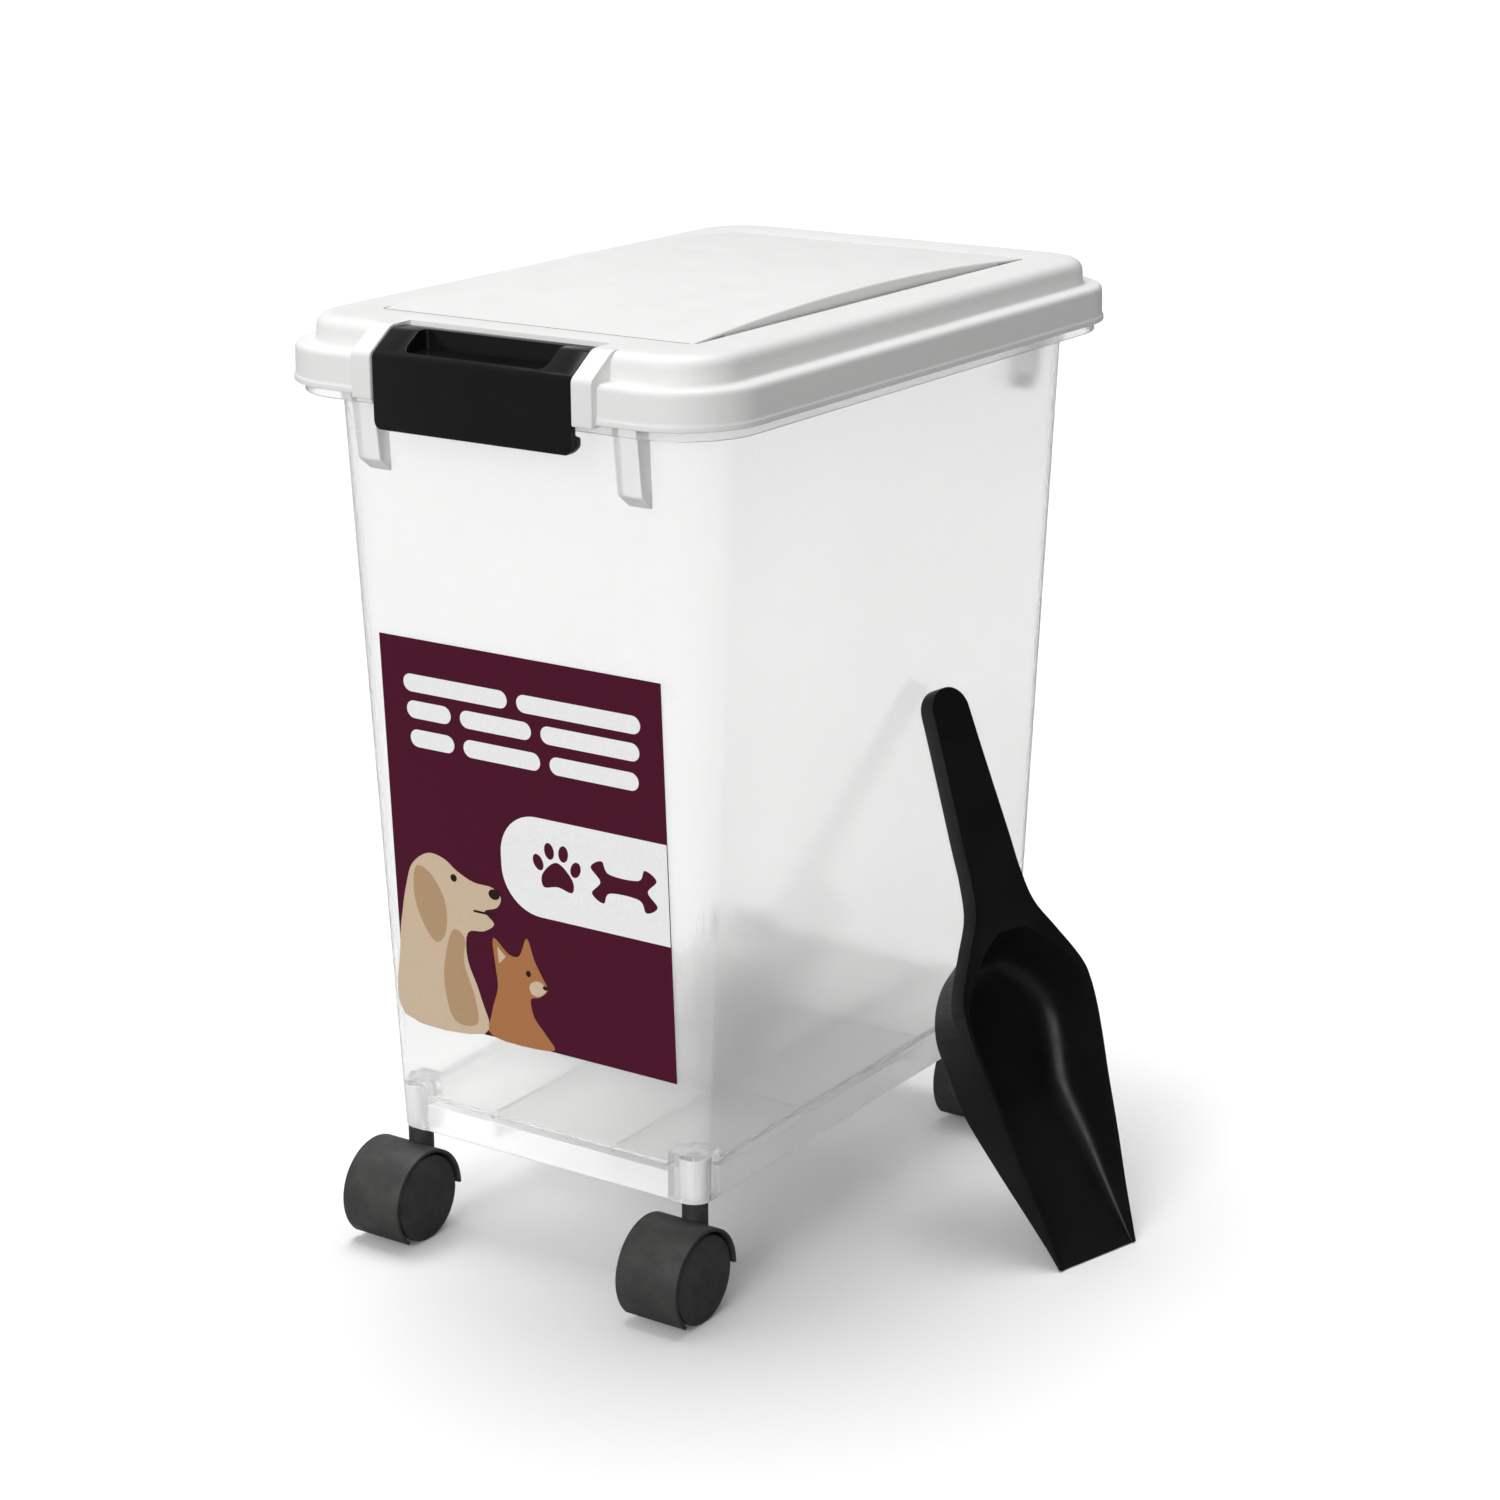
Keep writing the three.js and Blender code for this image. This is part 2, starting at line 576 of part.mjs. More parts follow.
function scoopHandle() {
  const flat = new THREE.Matrix4();
  const { length, handleHalf, handleDepth, thick } = SCOOP;
  const edge = (half) => [
    ...SCOOP_FLARE.map(([x, y]) => [x - handleHalf + half, y]),
    ...arc(0, length - handleHalf, half, 0, HANDLE_END.to, HANDLE_END.steps),
  ];
  const channel = extrude(mirrored(edge(handleHalf - thick)), -handleDepth - PAST, -thick, flat);
  return extrude(mirrored(edge(handleHalf)), -handleDepth, 0, flat).subtract(channel);
}

function scoop() {
  const hollow = bowl(SCOOP.thick, -PAST, PAST);
  const mesh = piece('scoop', scoopHandle().add(bowl(0, 0, 0)).subtract(hollow), BLACK_GLOSS);
  const [lean, turn] = [SCOOP_POSE.lean, SCOOP_POSE.turn].map(THREE.MathUtils.degToRad);
  const across = new THREE.Vector3(-Math.sin(turn), Math.cos(turn), 0);
  const away = new THREE.Vector3(Math.cos(turn), Math.sin(turn), 0);
  const up = away.clone().multiplyScalar(-Math.sin(lean)).addScaledVector(Z_AXIS, Math.cos(lean));
  const out = across.clone().cross(up);
  mesh.quaternion.setFromRotationMatrix(new THREE.Matrix4().makeBasis(across, up, out));
  mesh.position.set(SCOOP_POSE.x, SCOOP_POSE.y, 0);
  mesh.position.z = -new THREE.Box3().setFromObject(mesh, true).min.z;
  return mesh;
}

// --- The set --------------------------------------------------------------------------------------

const bin = new THREE.Group();
bin.add(tub(), label(), lid(), lidGasket(), latch());
bin.add(caster('front_left', -STEM.x, -STEM.y), caster('front_right', STEM.x, -STEM.y));
bin.add(caster('back_left', -STEM.x, STEM.y), caster('back_right', STEM.x, STEM.y));
bin.add(scoop());

const bounds = new THREE.Box3().setFromObject(bin, true);
const middle = bounds.getCenter(new THREE.Vector3());
bin.position.set(-middle.x, -middle.y, -bounds.min.z);

export default bin;
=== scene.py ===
"""Looks of a wheeled pet food bin: clear tub, satin lid with a black latch, label, casters and scoop.

Shapes are drawn in millimetres round the middle of the bin's footprint, with the floor at z = 0, and are
put into the row's frame by place(). The label faces -Y and the long side of the bin runs along Y.
"""

import math

import bmesh
import bpy
from mathutils import Matrix, Vector


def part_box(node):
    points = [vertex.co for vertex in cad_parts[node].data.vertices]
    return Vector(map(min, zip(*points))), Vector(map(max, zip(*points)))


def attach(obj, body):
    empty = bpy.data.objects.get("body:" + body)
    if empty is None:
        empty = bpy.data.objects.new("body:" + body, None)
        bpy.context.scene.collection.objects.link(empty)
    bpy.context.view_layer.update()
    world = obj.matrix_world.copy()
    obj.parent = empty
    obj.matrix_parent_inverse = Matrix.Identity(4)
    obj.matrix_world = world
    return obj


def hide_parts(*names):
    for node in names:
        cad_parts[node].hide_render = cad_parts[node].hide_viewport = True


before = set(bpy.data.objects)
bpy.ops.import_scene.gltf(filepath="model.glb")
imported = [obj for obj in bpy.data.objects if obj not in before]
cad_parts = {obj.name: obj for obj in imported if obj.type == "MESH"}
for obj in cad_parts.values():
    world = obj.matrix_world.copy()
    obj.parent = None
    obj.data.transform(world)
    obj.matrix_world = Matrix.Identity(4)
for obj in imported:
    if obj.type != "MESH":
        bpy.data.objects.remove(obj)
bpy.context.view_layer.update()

# --- Driving dimensions, in millimetres -------------------------------------------------------------

MM = 0.001
# The bin's own middle, in the row's metres: the gasket is the same on all four sides
CENTRE_X, CENTRE_Y = (sum(corner[axis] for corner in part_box("lid_gasket")) / 2 for axis in (0, 1))
CORNER_STEPS = 14
GAP = 0.3

# Rounded rectangles: half width in x, half width in y, corner radius
FOOT, FOOT_Z = (82.8, 137.7, 8.6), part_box("tub")[0].z / MM
BROW, BROW_Z = (98.3, 153.7, 24), 391
WALL = 2
FLOOR_TOP = 63.5
RIM = (111.5, 168, 33)
RIM_BOTTOM, RIM_TOP = 386.5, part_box("tub")[1].z / MM
SOCKET_TOP, SOCKET_BORE, SOCKET_BORE_TOP, SOCKET_FLATS = 71, 5.6, 68.6, 21
GUSSET_X, GUSSET_HALF, GUSSET_ROOT, GUSSET_OUT, GUSSET_KNEE, GUSSET_LOW = 67.3, 6, 153, 162, 384, 354.5
RIB_X, RIB_Y, RIB_HALF, RIB_LOW, RIB_TOP, RIB_SHORT = 33, 50, 0.9, 51, 62, 9

LIP = (114.5, 172, 36)
CROWN = (105.5, 163, 27)
PANEL = (79.5, 131.7, 3)
PLUG = (93.5, 149.3, 22)
LIP_BOTTOM, LEDGE, CROWN_TOP, PLUG_BOTTOM = 391, 407.5, 419.1, 396
SHEET = 2.2
ARCH = 5.5
CHEEK_IN, CHEEK_OUT, CHEEK_FACE, CHEEK_BOTTOM = 51.2, 61.4, 175.6, 390
RECESS_BACK = 148.2

PIVOT_Y, PIVOT_Z, PIN_R, BARREL = 153, 413.6, 2.4, 4.4
LATCH_HALF, LATCH_TOP, SLOPE_TOP, BEND = 50.5, 418, 161.5, 408.9
LATCH_FACE, LATCH_BOTTOM, PLATE = 174.7, 377.7, 3
POCKET_HALF, POCKET_BACK, POCKET_FRONT, POCKET_FLOOR = 36, 157, 172.2, 409.8
HOOK_REACH, HOOK_TOP, HOOK_BOTTOM = 168.4, 385.8, 380.8

HINGE_X, HINGE_Y, HINGE_Z, HINGE_HALF = 48, 178.5, 394, 7.5
BAR_R, EYE_R, SNAP_SLOT, WEB_TOP = 2.2, 4.4, 3.6, 405
BRACKET_R, BRACKET_TOP, BRACKET_THICK = 4.2, 390.4, 2.6

WHEEL_R, WHEEL_IN, WHEEL_OUT, AXLE_R = 20, 3.6, 16.2, 2.5
TRAIL = 14.5
HOOD_OUT, HOOD_IN, HOOD_HALF, WEB = 22.8, 21.4, 15.6, 3.2
HOOD_END, HUB_R, AXLE_HALF = 228, 6, 13
NECK_R, NECK_TOP, STEM_R, STEM_LOW, STEM_TOP = 5.7, 48.2, 3.5, 39.4, 68
GRIP_IN, GRIP_OUT, GRIP_LOW, GRIP_TOP, SLIT_HALF = 3.8, 5.3, 50, 66, 0.6

SCOOP_LENGTH, SCOOP_WALL = 262.4, 2
HANDLE_HALF, HANDLE_DEPTH = 10.9, 8.4
SCOOP_AT, SCOOP_LEAN, SCOOP_TURN = (200.4, 4), 23.3, -15.7

LABEL_WIDTH, LABEL_HEIGHT, LABEL_Z = 148, 178, 193.5


# --- Points and paths -------------------------------------------------------------------------------

def place(point):
    """A point of the drawing, in millimetres, as a point of the row's frame."""
    return Vector((point[0] * MM + CENTRE_X, point[1] * MM + CENTRE_Y, point[2] * MM))


def rounded(points, closed=False, steps=5):
    """A path with its corners rounded. Each point ends with how far from it the rounding starts."""
    result = []
    count = len(points)
    for index, (*values, size) in enumerate(points):
        corner = Vector(values)
        if size == 0 or (not closed and index in (0, count - 1)):
            result.append(corner)
            continue
        arms = []
        for other in (points[index - 1], points[(index + 1) % count]):
            way = Vector(other[:-1]) - corner
            arms.append(corner + way * min(size / math.hypot(way[0], way[-1]), 0.5))
        for step in range(steps + 1):
            share = step / steps
            first = arms[0].lerp(corner, share)
            result.append(first.lerp(corner.lerp(arms[1], share), share))
    return result


def arc(centre, radius, start, end, steps):
    """Points on an arc, with its angles in degrees."""
    angles = [math.radians(start + (end - start) * i / steps) for i in range(steps + 1)]
    return [(centre[0] + radius * math.cos(a), centre[1] + radius * math.sin(a)) for a in angles]


def smooth_loop(points, steps=6):
    """A closed curve through the points (Catmull-Rom)."""
    count = len(points)
    result = []
    for i in range(count):
        a, b, c, d = (Vector(points[(i + k - 1) % count]) for k in range(4))
        for step in range(steps):
            t = step / steps
            ahead = (c - a) * t + (2 * a - 5 * b + 4 * c - d) * t * t + (3 * b - a - 3 * c + d) * t ** 3
            result.append(b + ahead / 2)
    return result


def ring(half_x, half_y, radius, z, steps=CORNER_STEPS):
    """A level rounded rectangle."""
    points = []
    for quarter, (side_x, side_y) in enumerate(((1, 1), (-1, 1), (-1, -1), (1, -1))):
        for step in range(steps + 1):
            a = (quarter + step / steps) * math.pi / 2
            points.append((
                side_x * (half_x - radius) + radius * math.cos(a),
                side_y * (half_y - radius) + radius * math.sin(a),
                z,
            ))
    return points


def inset(base, by, z, size=0):
    """One section of a stack: a rounded rectangle moved in by a distance."""
    half_x, half_y, radius = base
    return (half_x - by, half_y - by, max(radius - by, 0.8), z, size)


# --- Meshes -----------------------------------------------------------------------------------------

def make(name, points, faces):
    """An object from points in millimetres, with its faces pointing out."""
    mesh = bpy.data.meshes.new(name)
    mesh.from_pydata([place(p) for p in points], [], faces)
    build = bmesh.new()
    build.from_mesh(mesh)
    bmesh.ops.remove_doubles(build, verts=build.verts, dist=1e-7)
    bmesh.ops.recalc_face_normals(build, faces=build.faces)
    build.to_mesh(mesh)
    build.free()
    piece = bpy.data.objects.new(name, mesh)
    bpy.context.scene.collection.objects.link(piece)
    return piece


def skin(name, rings, closed=False):
    """A surface over rings with equal numbers of points, capped at both ends or closed on itself."""
    count = len(rings[0])
    points = [p for r in rings for p in r]
    faces = []
    for level in range(len(rings) if closed else len(rings) - 1):
        here, there = level * count, (level + 1) % len(rings) * count
        for i in range(count):
            j = (i + 1) % count
            faces.append((here + i, here + j, there + j, there + i))
    if not closed:
        faces.append(tuple(range(count)))
        faces.append(tuple(range((len(rings) - 1) * count, len(rings) * count)))
    return make(name, points, faces)


def stack(name, sections, steps=5):
    return skin(name, [ring(*section) for section in rounded(sections, steps=steps)])


def prism(name, outline, start, end, axis):
    """An outline pushed along an axis: its points are (y, z) along x, (x, z) along y, (x, y) along z."""
    order = {"x": lambda u, v, w: (w, u, v), "y": lambda u, v, w: (u, w, v), "z": lambda u, v, w: (u, v, w)}
    levels = [[order[axis](u, v, w) for u, v in outline] for w in (start, end)]
    return skin(name, levels)


def cuboid(name, x, y, z):
    outline = [(x[0], y[0]), (x[1], y[0]), (x[1], y[1]), (x[0], y[1])]
    return prism(name, outline, *z, "z")


def lathe(name, profile, axis="z", centre=(0, 0, 0), sides=48):
    """A profile of (radius, height) turned round an axis; it starts and ends on the axis or closes."""
    on_axis = profile[0][0] == 0
    rings = []
    for radius, height in profile:
        turn = arc((0, 0), radius, 0, 360 * (1 - 1 / sides), sides - 1)
        rings.append([
            (height + centre[0], u + centre[1], v + centre[2]) if axis == "x"
            else (u + centre[0], v + centre[1], height + centre[2]) for u, v in turn
        ])
    return skin(name, rings, closed=not on_axis)


def rod_profile(radius, low, high, chamfer=0.0):
    """The profile of a plain rod, with chamfered ends where a chamfer is given."""
    if not chamfer:
        return [(0, low), (radius, low), (radius, high), (0, high)]
    return [(0, low), (radius - chamfer, low), (radius, low + chamfer), (radius, high - chamfer),
            (radius - chamfer, high), (0, high)]


def applied(piece):
    """Turns the modifiers of a piece into its mesh."""
    graph = bpy.context.evaluated_depsgraph_get()
    mesh = bpy.data.meshes.new_from_object(piece.evaluated_get(graph))
    piece.modifiers.clear()
    piece.data = mesh
    return piece


def combine(piece, tool, operation, solver="MANIFOLD"):
    """Joins a tool to a piece (UNION), cuts it away (DIFFERENCE) or keeps what they share (INTERSECT)."""
    step = piece.modifiers.new("combine", "BOOLEAN")
    step.operation = operation
    step.object = tool
    step.solver = solver
    applied(piece)
    bpy.data.objects.remove(tool)
    return piece


def soften_edges(piece, width, segments=3, angle=35):
    """Rounds the edges that are sharper than an angle."""
    step = piece.modifiers.new("edges", "BEVEL")
    step.width = width * MM
    step.segments = segments
    step.limit_method = "ANGLE"
    step.angle_limit = math.radians(angle)
    step.use_clamp_overlap = True
    return applied(piece)


def shade(piece, angle=40):
    """Smooth shading, with the edges over an angle left sharp."""
    build = bmesh.new()
    build.from_mesh(piece.data)
    bmesh.ops.remove_doubles(build, verts=build.verts, dist=1e-7)
    bmesh.ops.dissolve_degenerate(build, edges=build.edges, dist=1e-7)
    for face in build.faces:
        face.smooth = True
    for edge in build.edges:
        edge.smooth = len(edge.link_faces) == 2 and edge.calc_face_angle(0) < math.radians(angle)
    build.to_mesh(piece.data)
    build.free()
    return piece


def dress(piece, body, node, look):
    """Finishes a piece: its look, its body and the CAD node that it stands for."""
    piece.data.materials.clear()
    piece.data.materials.append(look)
    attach(piece, body)
    if node:
        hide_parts(node)
    return piece


# --- Materials --------------------------------------------------------------------------------------

class Look:
    """A material with a Principled shader, and short ways to drive it from textures."""

    def __init__(self, name, **values):
        self.material = bpy.data.materials.new(name)
        self.material.use_nodes = True
        self.nodes = self.material.node_tree.nodes
        self.links = self.material.node_tree.links
        self.shader = self.nodes["Principled BSDF"]
        self.output = self.nodes["Material Output"]
        self.position = self.nodes.new("ShaderNodeTexCoord").outputs["Object"]
        for key, value in values.items():
            self.shader.inputs[key.replace("_", " ")].default_value = value

    def noise(self, scale, detail=2, stretch=(1, 1, 1), roughness=0.5):
        mapping = self.nodes.new("ShaderNodeMapping")
        mapping.inputs["Scale"].default_value = stretch
        texture = self.nodes.new("ShaderNodeTexNoise")
        texture.inputs["Scale"].default_value = scale
        texture.inputs["Detail"].default_value = detail
        texture.inputs["Roughness"].default_value = roughness
        self.links.new(self.position, mapping.inputs["Vector"])
        self.links.new(mapping.outputs["Vector"], texture.inputs["Vector"])
        return texture.outputs["Fac"]

    def remap(self, value, low, high, start=0.3, end=0.7):
        """A value from a texture, spread over a new range."""
        node = self.nodes.new("ShaderNodeMapRange")
        node.inputs["From Min"].default_value = start
        node.inputs["From Max"].default_value = end
        node.inputs["To Min"].default_value = low
        node.inputs["To Max"].default_value = high
        self.links.new(value, node.inputs["Value"])
        return node.outputs["Result"]

    def blend(self, share, low, high):
        """A colour between two, by a share from a texture."""
        node = self.nodes.new("ShaderNodeMix")
        node.data_type = "RGBA"
        node.inputs["A"].default_value = (*low, 1)
        node.inputs["B"].default_value = (*high, 1)
        self.links.new(share, node.inputs["Factor"])
        return node.outputs["Result"]

    def drive(self, socket, value):
        self.links.new(value, self.shader.inputs[socket])

    def bump(self, height, distance, strength=1.0):
        """Adds relief of a depth in millimetres, on top of any relief already there."""
        node = self.nodes.new("ShaderNodeBump")
        node.inputs["Distance"].default_value = distance * MM
        node.inputs["Strength"].default_value = strength
        self.links.new(height, node.inputs["Height"])
        before = self.shader.inputs["Normal"].links
        if before:
            self.links.new(before[0].from_socket, node.inputs["Normal"])
        self.links.new(node.outputs["Normal"], self.shader.inputs["Normal"])


def clear_plastic(name, milk, passing):
    """Clear moulded plastic with a share of milky haze, which lets a share of the lamps' light pass."""
    look = Look(name, Base_Color=(0.966, 0.968, 0.964, 1), IOR=1.46, Transmission_Weight=1 - milk)
    look.drive("Roughness", look.remap(look.noise(9, 3), 0.05 + milk / 2, 0.12 + milk / 2))
    look.bump(look.noise(14, 2, stretch=(1, 1, 0.4)), 0.35, 0.25)
    look.bump(look.noise(900, 2), 0.004)
    light_path = look.nodes.new("ShaderNodeLightPath")
    open_shader = look.nodes.new("ShaderNodeBsdfTransparent")
    open_shader.inputs["Color"].default_value = (passing, passing, passing, 1)
    mix = look.nodes.new("ShaderNodeMixShader")
    look.links.new(light_path.outputs["Is Shadow Ray"], mix.inputs["Fac"])
    look.links.new(look.shader.outputs["BSDF"], mix.inputs[1])
    look.links.new(open_shader.outputs["BSDF"], mix.inputs[2])
    look.links.new(mix.outputs["Shader"], look.output.inputs["Surface"])
    return look.material


def lid_plastic(name, grey):
    look = Look(name, IOR=1.49, Subsurface_Weight=0.06, Subsurface_Scale=0.002)
    pale = tuple(grey * a for a in (1.035, 1.035, 1.022))
    share = look.remap(look.noise(5, 4), 0, 1)
    look.drive("Base Color", look.blend(share, (grey, grey, grey * 0.99), pale))
    look.drive("Roughness", look.remap(look.noise(60, 4), 0.42, 0.54))
    look.bump(look.noise(2600, 2), 0.02, 0.6)
    look.bump(look.noise(30, 2), 0.12, 0.25)
    return look.material


def gloss_black(name, colour, shine, roughness):
    look = Look(name, IOR=1.5, Specular_IOR_Level=shine)
    share = look.remap(look.noise(40, 4), 0, 1)
    look.drive("Base Color", look.blend(share, colour, tuple(c * 1.5 for c in colour)))
    look.drive("Roughness", look.remap(look.noise(90, 5, stretch=(1, 0.3, 1)), roughness, roughness + 0.12))
    look.bump(look.noise(700, 2), 0.006, 0.5)
    look.bump(look.noise(22, 2), 0.15, 0.2)
    return look.material


def matte_black(name, grain):
    look = Look(name, IOR=1.48)
    wear = look.remap(look.noise(120, 4), 0, 1, 0.4, 0.75)
    look.drive("Base Color", look.blend(wear, (0.031, 0.031, 0.03), (0.05, 0.05, 0.048)))
    look.drive("Roughness", look.remap(look.noise(200, 3), 0.46, 0.62))
    look.bump(look.noise(3000, 2), grain, 0.8)
    return look.material


def steel():
    look = Look("zinc_steel", Base_Color=(0.62, 0.62, 0.63, 1), Metallic=1)
    look.drive("Roughness", look.remap(look.noise(300, 3, stretch=(1, 1, 8)), 0.25, 0.42))
    look.bump(look.noise(900, 2, stretch=(1, 1, 10)), 0.01, 0.4)
    return look.material


def silicone():
    look = Look("silicone", Base_Color=(0.72, 0.74, 0.72, 1), IOR=1.41, Subsurface_Weight=0.2)
    look.drive("Roughness", look.remap(look.noise(80, 3), 0.5, 0.65))
    look.bump(look.noise(1500, 2), 0.01, 0.5)
    return look.material


def print_film(name, colour):
    """Printed label film: an even ink with the faintest mottle, under a satin coat."""
    look = Look(name, IOR=1.48, Specular_IOR_Level=0.1)
    dark = tuple(c * 0.93 for c in colour)
    look.drive("Base Color", look.blend(look.remap(look.noise(900, 3), 0, 1), dark, colour))
    look.drive("Roughness", look.remap(look.noise(50, 3), 0.36, 0.46))
    look.bump(look.noise(40, 2), 0.05, 0.2)
    return look.material


# --- Tub --------------------------------------------------------------------------------------------

def wall_at(z, by=0, size=0):
    share = (z - FOOT_Z) / (BROW_Z - FOOT_Z)
    base = [a + (b - a) * share for a, b in zip(FOOT, BROW)]
    return inset(base, by, z, size)


def tub_shell():
    return stack("tub", [
        wall_at(FLOOR_TOP - WALL, WALL + 1),
        wall_at(FLOOR_TOP - WALL, WALL, 0.8),
        wall_at(FOOT_Z, WALL, 0.4),
        wall_at(FOOT_Z, 0, 0.9),
        wall_at(RIM_TOP - WALL, 0, 1.6),
        inset(RIM, WALL, RIM_TOP - WALL, 1.0),
        inset(RIM, WALL, RIM_BOTTOM, 0.4),
        inset(RIM, 0, RIM_BOTTOM, 0.6),
        inset(RIM, 0, RIM_TOP, 1.6),
        wall_at(RIM_TOP, WALL, 0.8),
        wall_at(FLOOR_TOP, WALL, 5),
        wall_at(FLOOR_TOP, WALL + 8),
    ])


def gusset(side_x, side_y):
    """A rib under the rim, against the end wall."""
    profile = rounded([
        (GUSSET_ROOT, RIM_TOP - WALL / 2, 0),
        (GUSSET_OUT, RIM_TOP - WALL / 2, 0),
        (GUSSET_OUT, GUSSET_KNEE, 5),
        (GUSSET_OUT - 2.8, GUSSET_LOW + 6, 1.2),
        (GUSSET_ROOT - 1.7, GUSSET_LOW, 0),
    ], closed=True)
    outline = [(side_y * y, z) for y, z in profile]
    block = prism("gusset", outline, side_x * GUSSET_X - GUSSET_HALF, side_x * GUSSET_X + GUSSET_HALF, "x")
    return soften_edges(block, 0.7, 3, 50)


def socket(x, y):
    """An eight-sided boss for a caster stem, kept inside the tub's outer skin."""
    radius = SOCKET_FLATS / 2 / math.cos(math.pi / 8)
    outline = [(x + u, y + v) for u, v in arc((0, 0), radius, 22.5, 337.5, 7)]
    block = soften_edges(prism("socket", outline, FOOT_Z, SOCKET_TOP, "z"), 0.6, 3)
    skin_of_tub = stack("skin", [wall_at(FOOT_Z), wall_at(SOCKET_TOP + 1)])
    return combine(block, skin_of_tub, "INTERSECT")


def hinge_bracket(side):
    """Two cheeks that reach back from under the rim, with a bar between them."""
    outline = rounded([
        (RIM[1] - 1, RIM_BOTTOM, 0),
        (HINGE_Y, RIM_BOTTOM, 2),
        *((y, z, 0) for y, z in arc((HINGE_Y, HINGE_Z), BRACKET_R, -60, 180, 24)),
        (HINGE_Y - BRACKET_R, BRACKET_TOP, 1.2),
        (RIM[1] - 1, BRACKET_TOP, 0),
    ], closed=True)
    middle, near = side * HINGE_X, HINGE_HALF + GAP
    far = near + BRACKET_THICK
    piece = lathe("bar", rod_profile(BAR_R, -far, far, 0.1), "x", (middle, HINGE_Y, HINGE_Z), 32)
    for low, high in ((-far, -near), (near, far)):
        cheek_plate = soften_edges(prism("cheek", outline, middle + low, middle + high, "x"), 0.4, 2, 50)
        combine(piece, cheek_plate, "UNION")
    return piece


def corners():
    """The casters' names with the place of each swivel axis."""
    for name in ("front_left", "front_right", "back_left", "back_right"):
        low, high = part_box(f"{name}_caster_stem")
        middle = (low + high) / 2
        yield name, (middle.x - CENTRE_X) / MM, (middle.y - CENTRE_Y) / MM


def tub():
    """The tub, clear above its floor and frosted in the skirt, the sockets and the gussets."""
    piece = tub_shell()
    for side in (-1, 1):
        long_rib, cross_rib = (side * RIB_X, "y", FOOT[1]), (side * RIB_Y, "x", FOOT[0])
        for at, axis, half in (long_rib, cross_rib):
            reach = half - RIB_SHORT
            rib = [(at - RIB_HALF, RIB_LOW), (at + RIB_HALF, RIB_LOW), (at + RIB_HALF, RIB_TOP),
                   (at - RIB_HALF, RIB_TOP)]
            combine(piece, prism("rib", rib, -reach, reach, axis), "UNION")
        for end in (-1, 1):
            combine(piece, gusset(side, end), "UNION")
        combine(piece, hinge_bracket(side), "UNION")
    for _, x, y in corners():
        combine(piece, socket(x, y), "UNION")
        profile = rod_profile(SOCKET_BORE, FOOT_Z - 1, SOCKET_BORE_TOP)
        bore = lathe("bore", profile, "z", (x, y, 0), 32)
        combine(piece, bore, "DIFFERENCE")
    piece.name = "clear_tub"
    dress(shade(piece), "tub", "tub", LOOKS["clear"])
    piece.data.materials.append(LOOKS["frosted"])
    for face in piece.data.polygons:
        x, y, z = (abs(a) / MM for a in face.center - place((0, 0, 0)))
        wall = wall_at(z)
        skirt = z < FLOOR_TOP - 0.5
        outside = (x > wall[0] + 0.2 or y > wall[1] + 0.2) and z < RIM_BOTTOM - 0.5
        face.material_index = int(skirt or outside)
    return piece


# --- Lid --------------------------------------------------------------------------------------------

def lid_shell():
    return stack("lid", [
        inset(PLUG, WALL, CROWN_TOP - SHEET),
        inset(PLUG, WALL, PLUG_BOTTOM, 0.5),
        inset(PLUG, 0, PLUG_BOTTOM, 0.5),
        inset(PLUG, 0, CROWN_TOP - SHEET, 0.8),
        inset(CROWN, SHEET, CROWN_TOP - SHEET, 4.5),
        inset(CROWN, SHEET, LEDGE - SHEET, 0.8),
        inset(LIP, SHEET, LEDGE - SHEET, 1.5),
        inset(LIP, SHEET, LIP_BOTTOM, 0.5),
        inset(LIP, -0.7, LIP_BOTTOM, 0.7),
        inset(LIP, -0.7, LIP_BOTTOM + 2.3, 0.5),
        inset(LIP, 0, LIP_BOTTOM + 3.0, 0.5),
        inset(LIP, 0.3, LEDGE, 3.2),
        inset(CROWN, 0, LEDGE, 1.6),
        inset(CROWN, 0.8, CROWN_TOP, 6.5),
        inset(PANEL, -1.3, CROWN_TOP, 0.35),
        inset(PANEL, -1.1, CROWN_TOP - 1.5, 0.2),
        inset(PANEL, -0.1, CROWN_TOP - 1.5, 0.2),
        inset(PANEL, 0.3, CROWN_TOP - 0.2, 0),
    ], steps=6)


def arch_block(half_x, half_y, base, spring, rise, edge):
    """The arched panel: rings across the lid, rounded along their upper edges, highest at mid length."""
    rings = []
    steps = 48
    for i in range(steps + 1):
        share = -math.cos(math.pi * i / steps)
        top = spring + rise * (1 - share * share)
        across = rounded([(-half_x, base, 0), (half_x, base, 0), (half_x, top, edge), (-half_x, top, edge)],
                         closed=True, steps=4)
        rings.append([(x, share * half_y, z) for x, z in across])
    return skin("arch", rings)


def cheek(side):
    profile = rounded([
        (156, CROWN_TOP, 0),
        (SLOPE_TOP - 0.5, CROWN_TOP, 3),
        (CHEEK_FACE, BEND, 2),
        (CHEEK_FACE, CHEEK_BOTTOM, 0.8),
        (LIP[1] - SHEET, CHEEK_BOTTOM, 0),
        (LIP[1] - SHEET, LEDGE - SHEET, 0),
        (156, LEDGE - SHEET, 0),
    ], closed=True)
    outline = [(-y, z) for y, z in profile]
    return soften_edges(prism("cheek", outline, side * CHEEK_IN, side * CHEEK_OUT, "x"), 0.8, 3)


def pin_rod(name, radius, half):
    """A rod on the latch's axis, for its pins and for the holes that they turn in."""
    return lathe(name, rod_profile(radius, -half, half), "x", (0, -PIVOT_Y, PIVOT_Z), 32)


